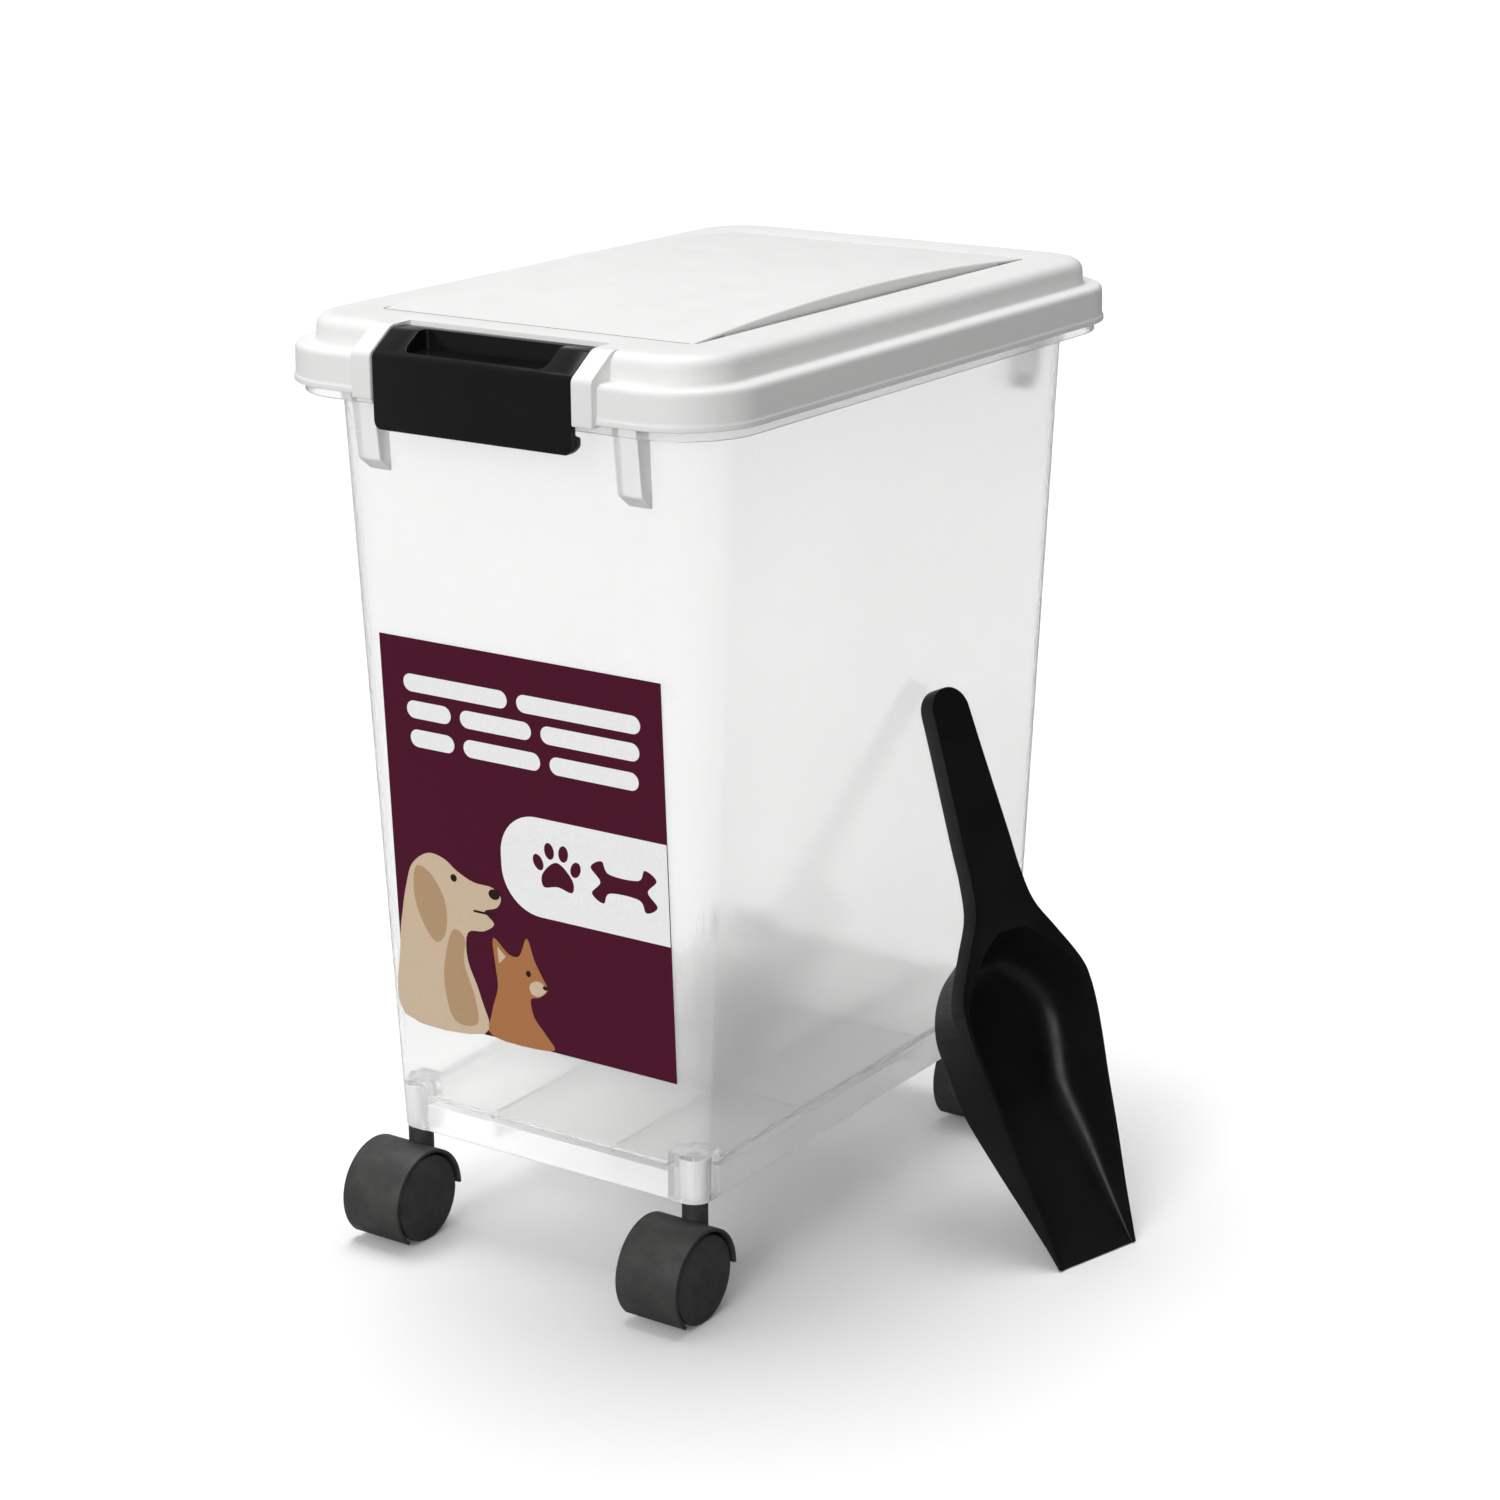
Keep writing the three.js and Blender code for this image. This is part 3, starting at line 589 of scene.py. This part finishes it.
def hinge_hook(side):
    """A hook on the back of the lid that turns on its bracket's bar, open below."""
    middle = side * HINGE_X
    web = rounded([
        (LIP[1] - 1, HINGE_Z, 0),
        (LIP[1] - 1, WEB_TOP, 0),
        (HINGE_Y + BAR_R, HINGE_Z + EYE_R - BAR_R / 4, 2),
        (HINGE_Y, HINGE_Z, 0),
    ], closed=True)
    piece = lathe("eye", rod_profile(EYE_R, -HINGE_HALF, HINGE_HALF), "x", (middle, HINGE_Y, HINGE_Z), 48)
    combine(piece, prism("web", web, middle - HINGE_HALF, middle + HINGE_HALF, "x"), "UNION")
    past = HINGE_HALF + 1.5
    bore = lathe("bore", rod_profile(BAR_R + GAP, -past, past), "x", (middle, HINGE_Y, HINGE_Z), 32)
    combine(piece, bore, "DIFFERENCE")
    slot = cuboid("slot", (middle - past, middle + past), (HINGE_Y - SNAP_SLOT / 2, HINGE_Y + SNAP_SLOT / 2),
                  (HINGE_Z - EYE_R - 1, HINGE_Z))
    return soften_edges(combine(piece, slot, "DIFFERENCE"), 0.3, 2, 50)


def lid():
    """The lid, with its arched panel in a groove with painted shade, latch recess and hinge hooks."""
    piece = lid_shell()
    combine(piece, arch_block(PANEL[0], PANEL[1], CROWN_TOP - 1.1, CROWN_TOP - 0.05, ARCH, 1.0), "UNION")
    hollow = arch_block(PANEL[0] - SHEET, PANEL[1] - SHEET, PLUG_BOTTOM + WALL, CROWN_TOP - SHEET, ARCH, 1)
    combine(piece, hollow, "DIFFERENCE")
    wide, deep = (-CHEEK_OUT, CHEEK_OUT), (-CHEEK_IN, CHEEK_IN)
    block = cuboid("block", wide, (1 - CROWN[1], SHEET - RECESS_BACK), (LEDGE - SHEET, CROWN_TOP - 1))
    combine(piece, block, "UNION")
    combine(piece, cheek(-1), "UNION")
    combine(piece, cheek(1), "UNION")
    combine(piece, cuboid("recess", deep, (-185, -RECESS_BACK), (LEDGE, 430)), "DIFFERENCE")
    mouth = cuboid("mouth", deep, (-185, SHEET + GAP - LIP[1]), (CHEEK_BOTTOM - 1, 430))
    combine(piece, mouth, "DIFFERENCE")
    combine(piece, pin_rod("holes", PIN_R + GAP, CHEEK_IN + 4.3), "DIFFERENCE")
    combine(piece, hinge_hook(-1), "UNION")
    combine(piece, hinge_hook(1), "UNION")
    piece.name = "lid_cover"
    soften_edges(piece, 0.45, 2, 50)
    dress(shade(piece), "lid", "lid", LOOKS["lid"])
    # Painted shade: the faces of the groove round the arched panel get a darker grey of the lid plastic,
    # which stands in for the shade that falls in the groove.
    piece.data.materials.append(LOOKS["groove"])
    for face in piece.data.polygons:
        x, y, z = (abs(a) / MM for a in face.center - place((0, 0, 0)))
        near_panel = x < PANEL[0] + 1.4 and y < PANEL[1] + 1.4
        outside_panel = x > PANEL[0] - 0.5 or y > PANEL[1] - 0.5
        face.material_index = int(near_panel and outside_panel and CROWN_TOP - 1.8 < z < CROWN_TOP - 0.2)
    return piece


def gasket():
    low, high = (corner.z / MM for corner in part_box("lid_gasket"))
    base = (109.5, 166, 31)
    sections = [inset(base, 4, low, 0.3), inset(base, 0, low, 0.5), inset(base, 0, high, 0.5),
                inset(base, 4, high, 0.5)]
    rings = [ring(*section) for section in rounded(sections, closed=True, steps=3)]
    return dress(shade(skin("gasket", rings, closed=True)), "lid", "lid_gasket", LOOKS["silicone"])


# --- Latch ------------------------------------------------------------------------------------------

def latch():
    """The latch lever with its finger pocket, lower hook and pins."""
    inner = LATCH_FACE - PLATE
    outline = rounded([
        *((y, z, 0) for y, z in arc((PIVOT_Y, PIVOT_Z), BARREL, 90, 270, 16)),
        (PIVOT_Y + 2.4, LEDGE + 0.6, 0.4),
        (inner, LEDGE + 0.6, 1),
        (inner, HOOK_TOP, 0.4),
        (HOOK_REACH, HOOK_TOP - 1.5, 0.5),
        (HOOK_REACH, HOOK_BOTTOM, 0.6),
        (inner, LATCH_BOTTOM, 0.5),
        (LATCH_FACE, LATCH_BOTTOM, 0.9),
        (LATCH_FACE, BEND, 1.6),
        (SLOPE_TOP, LATCH_TOP, 1.4),
    ], closed=True)
    piece = prism("latch_lever", [(-y, z) for y, z in outline], -LATCH_HALF, LATCH_HALF, "x")
    face = rounded([(-LATCH_HALF, LATCH_BOTTOM, 4.5), (LATCH_HALF, LATCH_BOTTOM, 4.5),
                    (LATCH_HALF, LATCH_TOP + 4, 0), (-LATCH_HALF, LATCH_TOP + 4, 0)], closed=True, steps=8)
    combine(piece, prism("face", face, -180, -140, "y"), "INTERSECT")
    mouth = rounded([
        (-POCKET_HALF, -POCKET_FRONT, 4),
        (POCKET_HALF, -POCKET_FRONT, 4),
        (POCKET_HALF, -POCKET_BACK, 2),
        (-POCKET_HALF, -POCKET_BACK, 2),
    ], closed=True, steps=6)
    combine(piece, prism("pocket", mouth, POCKET_FLOOR, LATCH_TOP + 5, "z"), "DIFFERENCE")
    combine(piece, pin_rod("pins", PIN_R, LATCH_HALF + 4.6), "UNION")
    soften_edges(piece, 0.5, 3, 35)
    return dress(shade(piece), "front_latch", "front_latch", LOOKS["latch"])


# --- Casters ----------------------------------------------------------------------------------------

def hood(name, x, y):
    outer = arc((y, WHEEL_R), HOOD_OUT, 0, HOOD_END, 56)
    inner = arc((y, WHEEL_R), HOOD_IN, HOOD_END, 0, 56)
    piece = prism(name, outer + inner, x - HOOD_HALF, x + HOOD_HALF, "x")
    fan = [(y, WHEEL_R), *arc((y, WHEEL_R), (HOOD_OUT + HOOD_IN) / 2, 0, HOOD_END, 56)]
    combine(piece, prism("web", fan, x - WEB, x + WEB, "x"), "UNION")
    hub = lathe("hub", rod_profile(HUB_R, -WEB, WEB), "x", (x, y, WHEEL_R), 32)
    combine(piece, hub, "UNION")
    grooved = [(0, WHEEL_R), (NECK_R, WHEEL_R), (NECK_R, NECK_TOP - 1.9), (NECK_R - 0.35, NECK_TOP - 1.6),
               (NECK_R, NECK_TOP - 1.3), (NECK_R, NECK_TOP), (0, NECK_TOP)]
    neck = lathe("neck", grooved, "z", (x, y + TRAIL, 0))
    room = lathe("room", rod_profile(HOOD_IN, -HOOD_HALF, HOOD_HALF), "x", (x, y, WHEEL_R), 112)
    combine(neck, room, "DIFFERENCE")
    combine(piece, neck, "UNION")
    stem_room = rod_profile(STEM_R + GAP, STEM_LOW - GAP, NECK_TOP + 1.8)
    stem_bore = lathe("bore", stem_room, "z", (x, y + TRAIL, 0), 32)
    combine(piece, stem_bore, "DIFFERENCE")
    axle_bore = lathe("bore", rod_profile(AXLE_R + GAP, -WEB - 1.8, WEB + 1.8), "x", (x, y, WHEEL_R), 32)
    combine(piece, axle_bore, "DIFFERENCE")
    return soften_edges(piece, 0.4, 3, 50)


def wheel(name, x, y, side):
    profile = rounded([
        (0, 13.4, 0),
        (AXLE_R + GAP, 13.4, 0),
        (AXLE_R + GAP, WHEEL_IN, 0.4),
        (WHEEL_R, WHEEL_IN, 0.9),
        (WHEEL_R, WHEEL_OUT - 1.6, 1.4),
        (WHEEL_R - 1.3, WHEEL_OUT - 1.2, 0.8),
        (WHEEL_R - 2.2, WHEEL_OUT - 1.0, 0.7),
        (WHEEL_R - 4.5, WHEEL_OUT - 0.7, 2),
        (WHEEL_R - 12, WHEEL_OUT - 0.1, 5),
        (0, WHEEL_OUT, 0),
    ], steps=4)
    return lathe(name, [(r, side * h) for r, h in profile], "x", (x, y, WHEEL_R), 72)


def caster(name, x, y):
    """One caster by the place of its swivel axis: hood, wheels, axle, stem and grip ring."""
    centre_y = y - TRAIL
    body = f"{name}_caster"
    cover = shade(hood(f"{name}_hood", x, centre_y))
    dress(cover, body, f"{name}_caster_hood", LOOKS["hood"])
    for side, word in ((-1, "left"), (1, "right")):
        piece = wheel(f"{name}_wheel_{word}_tread", x, centre_y, side)
        dress(shade(piece, 30), f"{name}_wheel_{word}", f"{name}_wheel_{word}", LOOKS["wheel"])
    rod = rod_profile(AXLE_R, -AXLE_HALF, AXLE_HALF, 0.4)
    axle = lathe(f"{name}_axle", rod, "x", (x, centre_y, WHEEL_R), 32)
    dress(shade(axle, 30), body, f"{name}_caster_axle", LOOKS["steel"])
    stem = lathe(f"{name}_stem", rod_profile(STEM_R, STEM_LOW, STEM_TOP, 0.8), "z", (x, y, 0), 32)
    dress(shade(stem, 30), "tub", f"{name}_caster_stem", LOOKS["steel"])
    tube = [(GRIP_IN, GRIP_LOW), (GRIP_OUT - 0.4, GRIP_LOW), (GRIP_OUT, GRIP_LOW + 0.6),
            (GRIP_OUT, GRIP_TOP - 0.6), (GRIP_OUT - 0.4, GRIP_TOP), (GRIP_IN, GRIP_TOP)]
    grip = lathe(f"{name}_ring", tube, "z", (x, y, 0), 32)
    slit = cuboid("slit", (x - SLIT_HALF, x + SLIT_HALF), (y, y + 7), (GRIP_LOW - 1, GRIP_TOP + 1))
    combine(grip, slit, "DIFFERENCE")
    dress(shade(grip, 30), "tub", f"{name}_grip_ring", LOOKS["steel"])


# --- Label ------------------------------------------------------------------------------------------

WALL_LEAN = math.atan2(BROW[1] - FOOT[1], BROW_Z - FOOT_Z)


def on_label(u, v, out):
    """A point on the label: u across from its middle, v up from its lower edge, out from the wall."""
    up = v - LABEL_HEIGHT / 2
    wall_y = wall_at(LABEL_Z)[1]
    return (
        u,
        -wall_y - up * math.sin(WALL_LEAN) - out * math.cos(WALL_LEAN),
        LABEL_Z + up * math.cos(WALL_LEAN) - out * math.sin(WALL_LEAN),
    )


def print_shapes(name, outlines, layer, look):
    """Flat printed shapes as one piece, each a thin plate on its layer of the label."""
    base = GAP + 0.4 + layer * 0.05
    points, faces = [], []
    for outline in outlines:
        count, first = len(outline), len(points)
        for out in (base - 0.1, base + 0.05):
            points += [on_label(u, v, out) for u, v in outline]
        faces.append(tuple(range(first, first + count)))
        faces.append(tuple(range(first + count, first + 2 * count)))
        for i in range(count):
            j = (i + 1) % count
            faces.append((first + i, first + j, first + count + j, first + count + i))
    piece = make(name, points, faces)
    return dress(piece, "tub", None, look)


def ellipse(centre, half_u, half_v, turn=0, steps=28):
    cos, sin = math.cos(math.radians(turn)), math.sin(math.radians(turn))
    loop = []
    for i in range(steps):
        a = 2 * math.pi * i / steps
        u, v = half_u * math.cos(a), half_v * math.sin(a)
        loop.append((centre[0] + u * cos - v * sin, centre[1] + u * sin + v * cos))
    return loop


def bar(left, right, middle, height):
    """A bar with round ends."""
    r = height / 2
    return arc((right - r, middle), r, -90, 90, 10) + arc((left + r, middle), r, 90, 270, 10)


def paw(centre, size):
    """A paw print: a pad and four toes."""
    u, v = centre
    pad = smooth_loop([(u + a * size, v + b * size) for a, b in (
        (0, -0.52), (0.5, -0.6), (0.52, -0.2), (0, 0.22), (-0.52, -0.2), (-0.5, -0.6))])
    toes = [ellipse((u + a * size, v + b * size), 0.17 * size, 0.25 * size, turn)
            for a, b, turn in ((-0.66, 0.12, 24), (-0.25, 0.52, 8), (0.25, 0.52, -8), (0.66, 0.12, -24))]
    return [pad, *toes]


def bone(centre, length, height):
    u, v = centre
    half, r = length / 2, height / 2
    knob = r * 0.62
    return smooth_loop([
        (u - half + r, v + r * 0.45), (u - half + knob, v + r), (u - half, v + knob), (u - half + r * 0.5, v),
        (u - half, v - knob), (u - half + knob, v - r), (u - half + r, v - r * 0.45),
        (u + half - r, v - r * 0.45), (u + half - knob, v - r), (u + half, v - knob), (u + half - r * 0.5, v),
        (u + half, v + knob), (u + half - knob, v + r), (u + half - r, v + r * 0.45),
    ])


DOG = [(-74, 0.3), (-74, 34), (-71, 52), (-68, 64), (-64, 74), (-55, 80.5), (-46, 79.5), (-39, 75),
       (-30, 71.5), (-20, 71), (-15.5, 67), (-18, 62), (-25, 59), (-20, 54), (-26, 49.5), (-35, 47),
       (-36, 34), (-30, 18), (-29, 0.3)]
DOG_EAR = [(-62, 73), (-54, 71), (-47, 60), (-47, 46), (-53, 39), (-60, 47), (-64, 60)]
DOG_CHEST = [(-44, 46), (-37, 44), (-38, 32), (-33, 16), (-33, 4), (-46, 4), (-50, 24)]
CAT = [(-24, 0.3), (-24, 12), (-20, 24), (-20.5, 34), (-21, 47.5), (-13, 41.5), (-7, 42), (-2.5, 51),
       (1, 41.5), (4.5, 35), (7.5, 29), (3, 24.5), (-2, 22.5), (-0.5, 14), (5.5, 7), (8, 0.3)]
CAT_EAR = [(-19, 44), (-14.5, 40), (-18.5, 36)]
CAT_FACE = [(7, 29.2), (2.5, 32), (-2, 29.5), (-1.5, 25.5), (3, 25)]


def label():
    """A plain pet label: a burgundy sheet with rows of bars, two pets, and a tab with a paw and a bone."""
    half = LABEL_WIDTH / 2
    inks = {name: print_film(f"ink_{name}", colour) for name, colour in INKS.items()}
    back, face = GAP, GAP + 0.4
    rings = []
    for out, shrink in ((back, 0.15), (back + 0.1, 0), (face - 0.1, 0), (face, 0.1)):
        rings.append([on_label(u * (half - shrink), v, out) for u, v in (
            (-1, shrink), (1, shrink), (1, LABEL_HEIGHT - shrink), (-1, LABEL_HEIGHT - shrink))])
    sheet = dress(skin("label_sheet", rings), "tub", "label", inks["burgundy"])
    sheet.data.materials.append(inks["paper"])
    for polygon in sheet.data.polygons:
        if polygon.normal.y > 0.9:
            polygon.material_index = 1
    tab = arc((-14 + 20, 62.5 + 20), 20, 180, 270, 12) + [(half - 0.2, 62.5), (half - 0.2, 108)] \
        + arc((-14 + 20, 108 - 20), 20, 90, 180, 12)
    rows = [(158, ((-62, -6), (-1, 63))), (146, ((-61, -37), (-32, 6), (11, 62))),
            (133, ((-60, -36), (-31, 10), (15, 61)))]
    bars = [bar(left, right, v, 8) for v, words in rows for left, right in words]
    print_shapes("label_white", [tab, *bars], 1, inks["white"])
    print_shapes("label_marks", [*paw((16, 86), 15), bone((51, 85), 34, 19)], 2, inks["burgundy"])
    print_shapes("label_dog", [smooth_loop(DOG, 4)], 1, inks["cream"])
    print_shapes("label_dog_shade", [smooth_loop(DOG_EAR, 5), smooth_loop(DOG_CHEST, 5)], 2, inks["gold"])
    print_shapes("label_cat", [smooth_loop(CAT, 4)], 2, inks["ginger"])
    print_shapes("label_cat_light", [smooth_loop(CAT_FACE, 5), CAT_EAR], 3, inks["cream"])
    dark = [ellipse((-19, 68), 3, 2.4), ellipse((-41, 71.5), 1.7, 1.7), ellipse((6.3, 29.6), 1.3, 1),
            ellipse((-2.5, 34.5), 1.3, 1.5), bar(-31, -19.5, 58.2, 1)]
    print_shapes("label_dark", dark, 4, inks["dark"])


# --- Scoop ------------------------------------------------------------------------------------------
# In its own frame: x across, y from the lip to the end of the handle, z out of the bowl.

FLARE = [(38.6, 112), (39.1, 120), (38, 126), (34.1, 134), (26.6, 146), (18.1, 160), (15.2, 175), (14.3, 192),
         (12.9, 215), (11.6, 237), (HANDLE_HALF, SCOOP_LENGTH - HANDLE_HALF)]
# Sections of the bowl: distance from the lip, half width at the rim, half width at the floor, depth
BOWL = [(0, 23.7, 23.6, 2), (25, 27, 26.3, 11.2), (50, 31, 29.1, 20.3), (75, 34.4, 31, 29.2),
        (95, 37.6, 33.8, 29.5), (110, 39.2, 35.3, 29.5), (122, 38.6, 31.7, 29.5), (132, 33, 24.5, 29.3),
        (139, 27, 16, 27.5), (146, 19.5, 11, 20), (150.5, 13, 7.5, 12), (152.5, 9, 5, 8.4)]


def half_curve(points, steps=6):
    """A smooth curve through open points (Catmull-Rom), kept on its ends."""
    padded = [Vector(points[0]), *map(Vector, points), Vector(points[-1])]
    result = []
    for i in range(len(points) - 1):
        a, b, c, d = padded[i:i + 4]
        for step in range(steps):
            t = step / steps
            ahead = (c - a) * t + (2 * a - 5 * b + 4 * c - d) * t * t + (3 * b - a - 3 * c + d) * t ** 3
            result.append(b + ahead / 2)
    return [*result, padded[-1]]


def mirrored(points):
    """A closed outline from its right half; a point on the middle line isn't repeated."""
    return [tuple(p) for p in points] + [(-p[0], p[1]) for p in reversed(points) if abs(p[0]) > 1e-6]


def shifted(points, by):
    """A right half curve moved towards the middle line by a distance, square to itself."""
    result = []
    for i, point in enumerate(points):
        way = points[min(i + 1, len(points) - 1)] - points[max(i - 1, 0)]
        inward = Vector((-way.y, way.x)).normalized()
        if i == 0:
            inward = Vector((-1, 0))
        if point.x == 0:
            inward = Vector((0, -1))
        result.append(point + inward * by)
    return result


def bowl(name, by, front, top, fillet):
    """The bowl's outside, or the hollow in it, as sections from the lip to the back with rounded feet."""
    rings = []
    for along, rim, foot, deep in half_curve([Vector(section) for section in BOWL]):
        depth = max(deep - by, 0)
        radius = min(fillet, 0.45 * depth, 0.6 * (foot - by))
        half = rounded([(rim - by, top, 0), (rim - by, 0, 0), (foot - by, -depth, radius), (0, -depth, 0)],
                       steps=8)[:-1]
        if radius < 1e-6:
            half = half[:2] + [half[2]] * 9
        y = front if along == 0 and by else along - by
        rings.append([(x, y, z) for x, z in half] + [(-x, y, z) for x, z in reversed(half)])
    return skin(name, rings)


def scoop():
    """The scoop, shaped flat and then leant against the side of the tub."""
    end = arc((0, SCOOP_LENGTH - HANDLE_HALF), HANDLE_HALF, 0, 90, 14)[1:]
    rim = [*half_curve(FLARE), *map(Vector, end[:-1]), Vector((0, SCOOP_LENGTH))]
    piece = prism("scoop_body", mirrored(rim), -HANDLE_DEPTH, 0, "z")
    inner = shifted(rim, SCOOP_WALL)
    combine(piece, prism("channel", mirrored(inner), -HANDLE_DEPTH - 1, -SCOOP_WALL, "z"), "DIFFERENCE")
    combine(piece, bowl("outside", 0, 0, 0, 2.5), "UNION")
    combine(piece, bowl("hollow", SCOOP_WALL, -1, 1, 11), "DIFFERENCE")
    soften_edges(piece, 0.85, 4, 50)
    lean, turn = math.radians(SCOOP_LEAN), math.radians(SCOOP_TURN)
    across = Vector((-math.sin(turn), math.cos(turn), 0))
    away = Vector((math.cos(turn), math.sin(turn), 0))
    up = away * -math.sin(lean) + Vector((0, 0, math.cos(lean)))
    pose = Matrix((across, up, across.cross(up))).transposed().to_4x4()
    to_drawing = Matrix.Translation((-CENTRE_X, -CENTRE_Y, 0))
    piece.data.transform(pose @ to_drawing)
    floor = min(v.co.z for v in piece.data.vertices)
    piece.data.transform(Matrix.Translation((*place((*SCOOP_AT, 0)).xy, -floor)))
    return dress(shade(piece), "scoop", "scoop", LOOKS["scoop"])


# --- Studio -----------------------------------------------------------------------------------------

def floor():
    """A wide, plain, pale studio floor, white as seen and darker in reflections."""
    look = Look("studio_floor", Roughness=0.9, Specular_IOR_Level=0.05)
    rays = look.nodes.new("ShaderNodeLightPath")
    seen = look.nodes.new("ShaderNodeMath")
    seen.operation = "MAXIMUM"
    look.links.new(rays.outputs["Is Camera Ray"], seen.inputs[0])
    look.links.new(rays.outputs["Is Transmission Ray"], seen.inputs[1])
    look.drive("Base Color", look.blend(seen.outputs["Value"], (0.4, 0.4, 0.4), (1, 1, 1)))
    mesh = bpy.data.meshes.new("studio_floor")
    mesh.from_pydata([(-60, -60, 0), (60, -60, 0), (60, 60, 0), (-60, 60, 0)], [], [(0, 1, 2, 3)])
    mesh.materials.append(look.material)
    plane = bpy.data.objects.new("studio_floor", mesh)
    bpy.context.scene.collection.objects.link(plane)


def sky(shade_level, light_level):
    """A plain studio surround, white as seen, that lights most from the front left and above."""
    world = bpy.data.worlds.new("studio")
    world.use_nodes = True
    bpy.context.scene.world = world
    nodes, links = world.node_tree.nodes, world.node_tree.links
    direction = nodes.new("ShaderNodeTexCoord").outputs["Generated"]
    dot = nodes.new("ShaderNodeVectorMath")
    dot.operation = "DOT_PRODUCT"
    dot.inputs[1].default_value = Vector((-0.8, -0.2, 0.5)).normalized()
    links.new(direction, dot.inputs[0])
    spread = nodes.new("ShaderNodeMapRange")
    spread.interpolation_type = "SMOOTHSTEP"
    spread.inputs["From Min"].default_value = -0.7
    spread.inputs["From Max"].default_value = 0.8
    spread.inputs["To Min"].default_value = shade_level
    spread.inputs["To Max"].default_value = light_level
    links.new(dot.outputs["Value"], spread.inputs["Value"])
    seen = nodes.new("ShaderNodeLightPath").outputs["Is Camera Ray"]
    strength = nodes.new("ShaderNodeMix")
    links.new(seen, strength.inputs["Factor"])
    links.new(spread.outputs["Result"], strength.inputs["A"])
    strength.inputs["B"].default_value = 1
    links.new(strength.outputs["Result"], nodes["Background"].inputs["Strength"])
    nodes["Background"].inputs["Color"].default_value = (1, 1, 1, 1)


def sun(name, direction, spread, strength):
    data = bpy.data.lights.new(name, "SUN")
    data.angle = math.radians(spread)
    data.energy = strength
    lamp = bpy.data.objects.new(name, data)
    bpy.context.scene.collection.objects.link(lamp)
    lamp.rotation_euler = Vector(direction).to_track_quat("-Z", "Y").to_euler()


def camera():
    """Looks at the bin from the front right, a little above it."""
    azimuth, elevation, roll = (math.radians(a) for a in (34.08, 16.95, -0.27))
    back = Vector((math.sin(azimuth) * math.cos(elevation), -math.cos(azimuth) * math.cos(elevation),
                   math.sin(elevation)))
    right = Vector((math.cos(azimuth), math.sin(azimuth), 0))
    up = back.cross(right)
    turned = right * math.cos(roll) + up * math.sin(roll)
    data = bpy.data.cameras.new("camera")
    data.lens = 80.8
    data.sensor_width = 36
    view = bpy.data.objects.new("camera", data)
    bpy.context.scene.collection.objects.link(view)
    turning = Matrix((turned, back.cross(turned), back)).transposed().to_4x4()
    view.matrix_world = Matrix.Translation(place((16.7, 0, 206.7)) + back * 1.5344) @ turning
    bpy.context.scene.camera = view


# --- The set ----------------------------------------------------------------------------------------

LOOKS = {
    "clear": clear_plastic("clear_plastic", 0.1, 0.95),
    "frosted": clear_plastic("frosted_plastic", 0.6, 0.22),
    "lid": lid_plastic("lid_plastic", 0.80),
    # Painted shade: a darker grey of the lid plastic for the groove round the panel
    "groove": lid_plastic("lid_painted_groove_shade", 0.45),
    "latch": gloss_black("latch_black", (0.0045, 0.0045, 0.0045), 0.17, 0.12),
    "scoop": gloss_black("scoop_black", (0.0045, 0.0048, 0.0045), 0.22, 0.3),
    "hood": matte_black("caster_black", 0.02),
    "wheel": matte_black("wheel_black", 0.015),
    "steel": steel(),
    "silicone": silicone(),
}
INKS = {
    "burgundy": (0.0765, 0.0065, 0.024),
    "white": (0.95, 0.95, 0.95),
    "paper": (0.78, 0.78, 0.77),
    "cream": (0.68, 0.53, 0.38),
    "gold": (0.50, 0.33, 0.19),
    "ginger": (0.45, 0.19, 0.075),
    "dark": (0.02, 0.014, 0.012),
}

tub()
lid()
gasket()
latch()
for corner_name, corner_x, corner_y in corners():
    caster(corner_name, corner_x, corner_y)
label()
scoop()

floor()
sky(0.03, 0.5)
sun("overhead", (0.17, -0.14, -1.0), 36, 1.85)
sun("front", (-0.126, 0.897, -0.423), 30, 1.3)
sun("fill", (-0.535, 0.793, -0.29), 20, 0.4)
bpy.context.scene.view_settings.view_transform = "Standard"
camera()
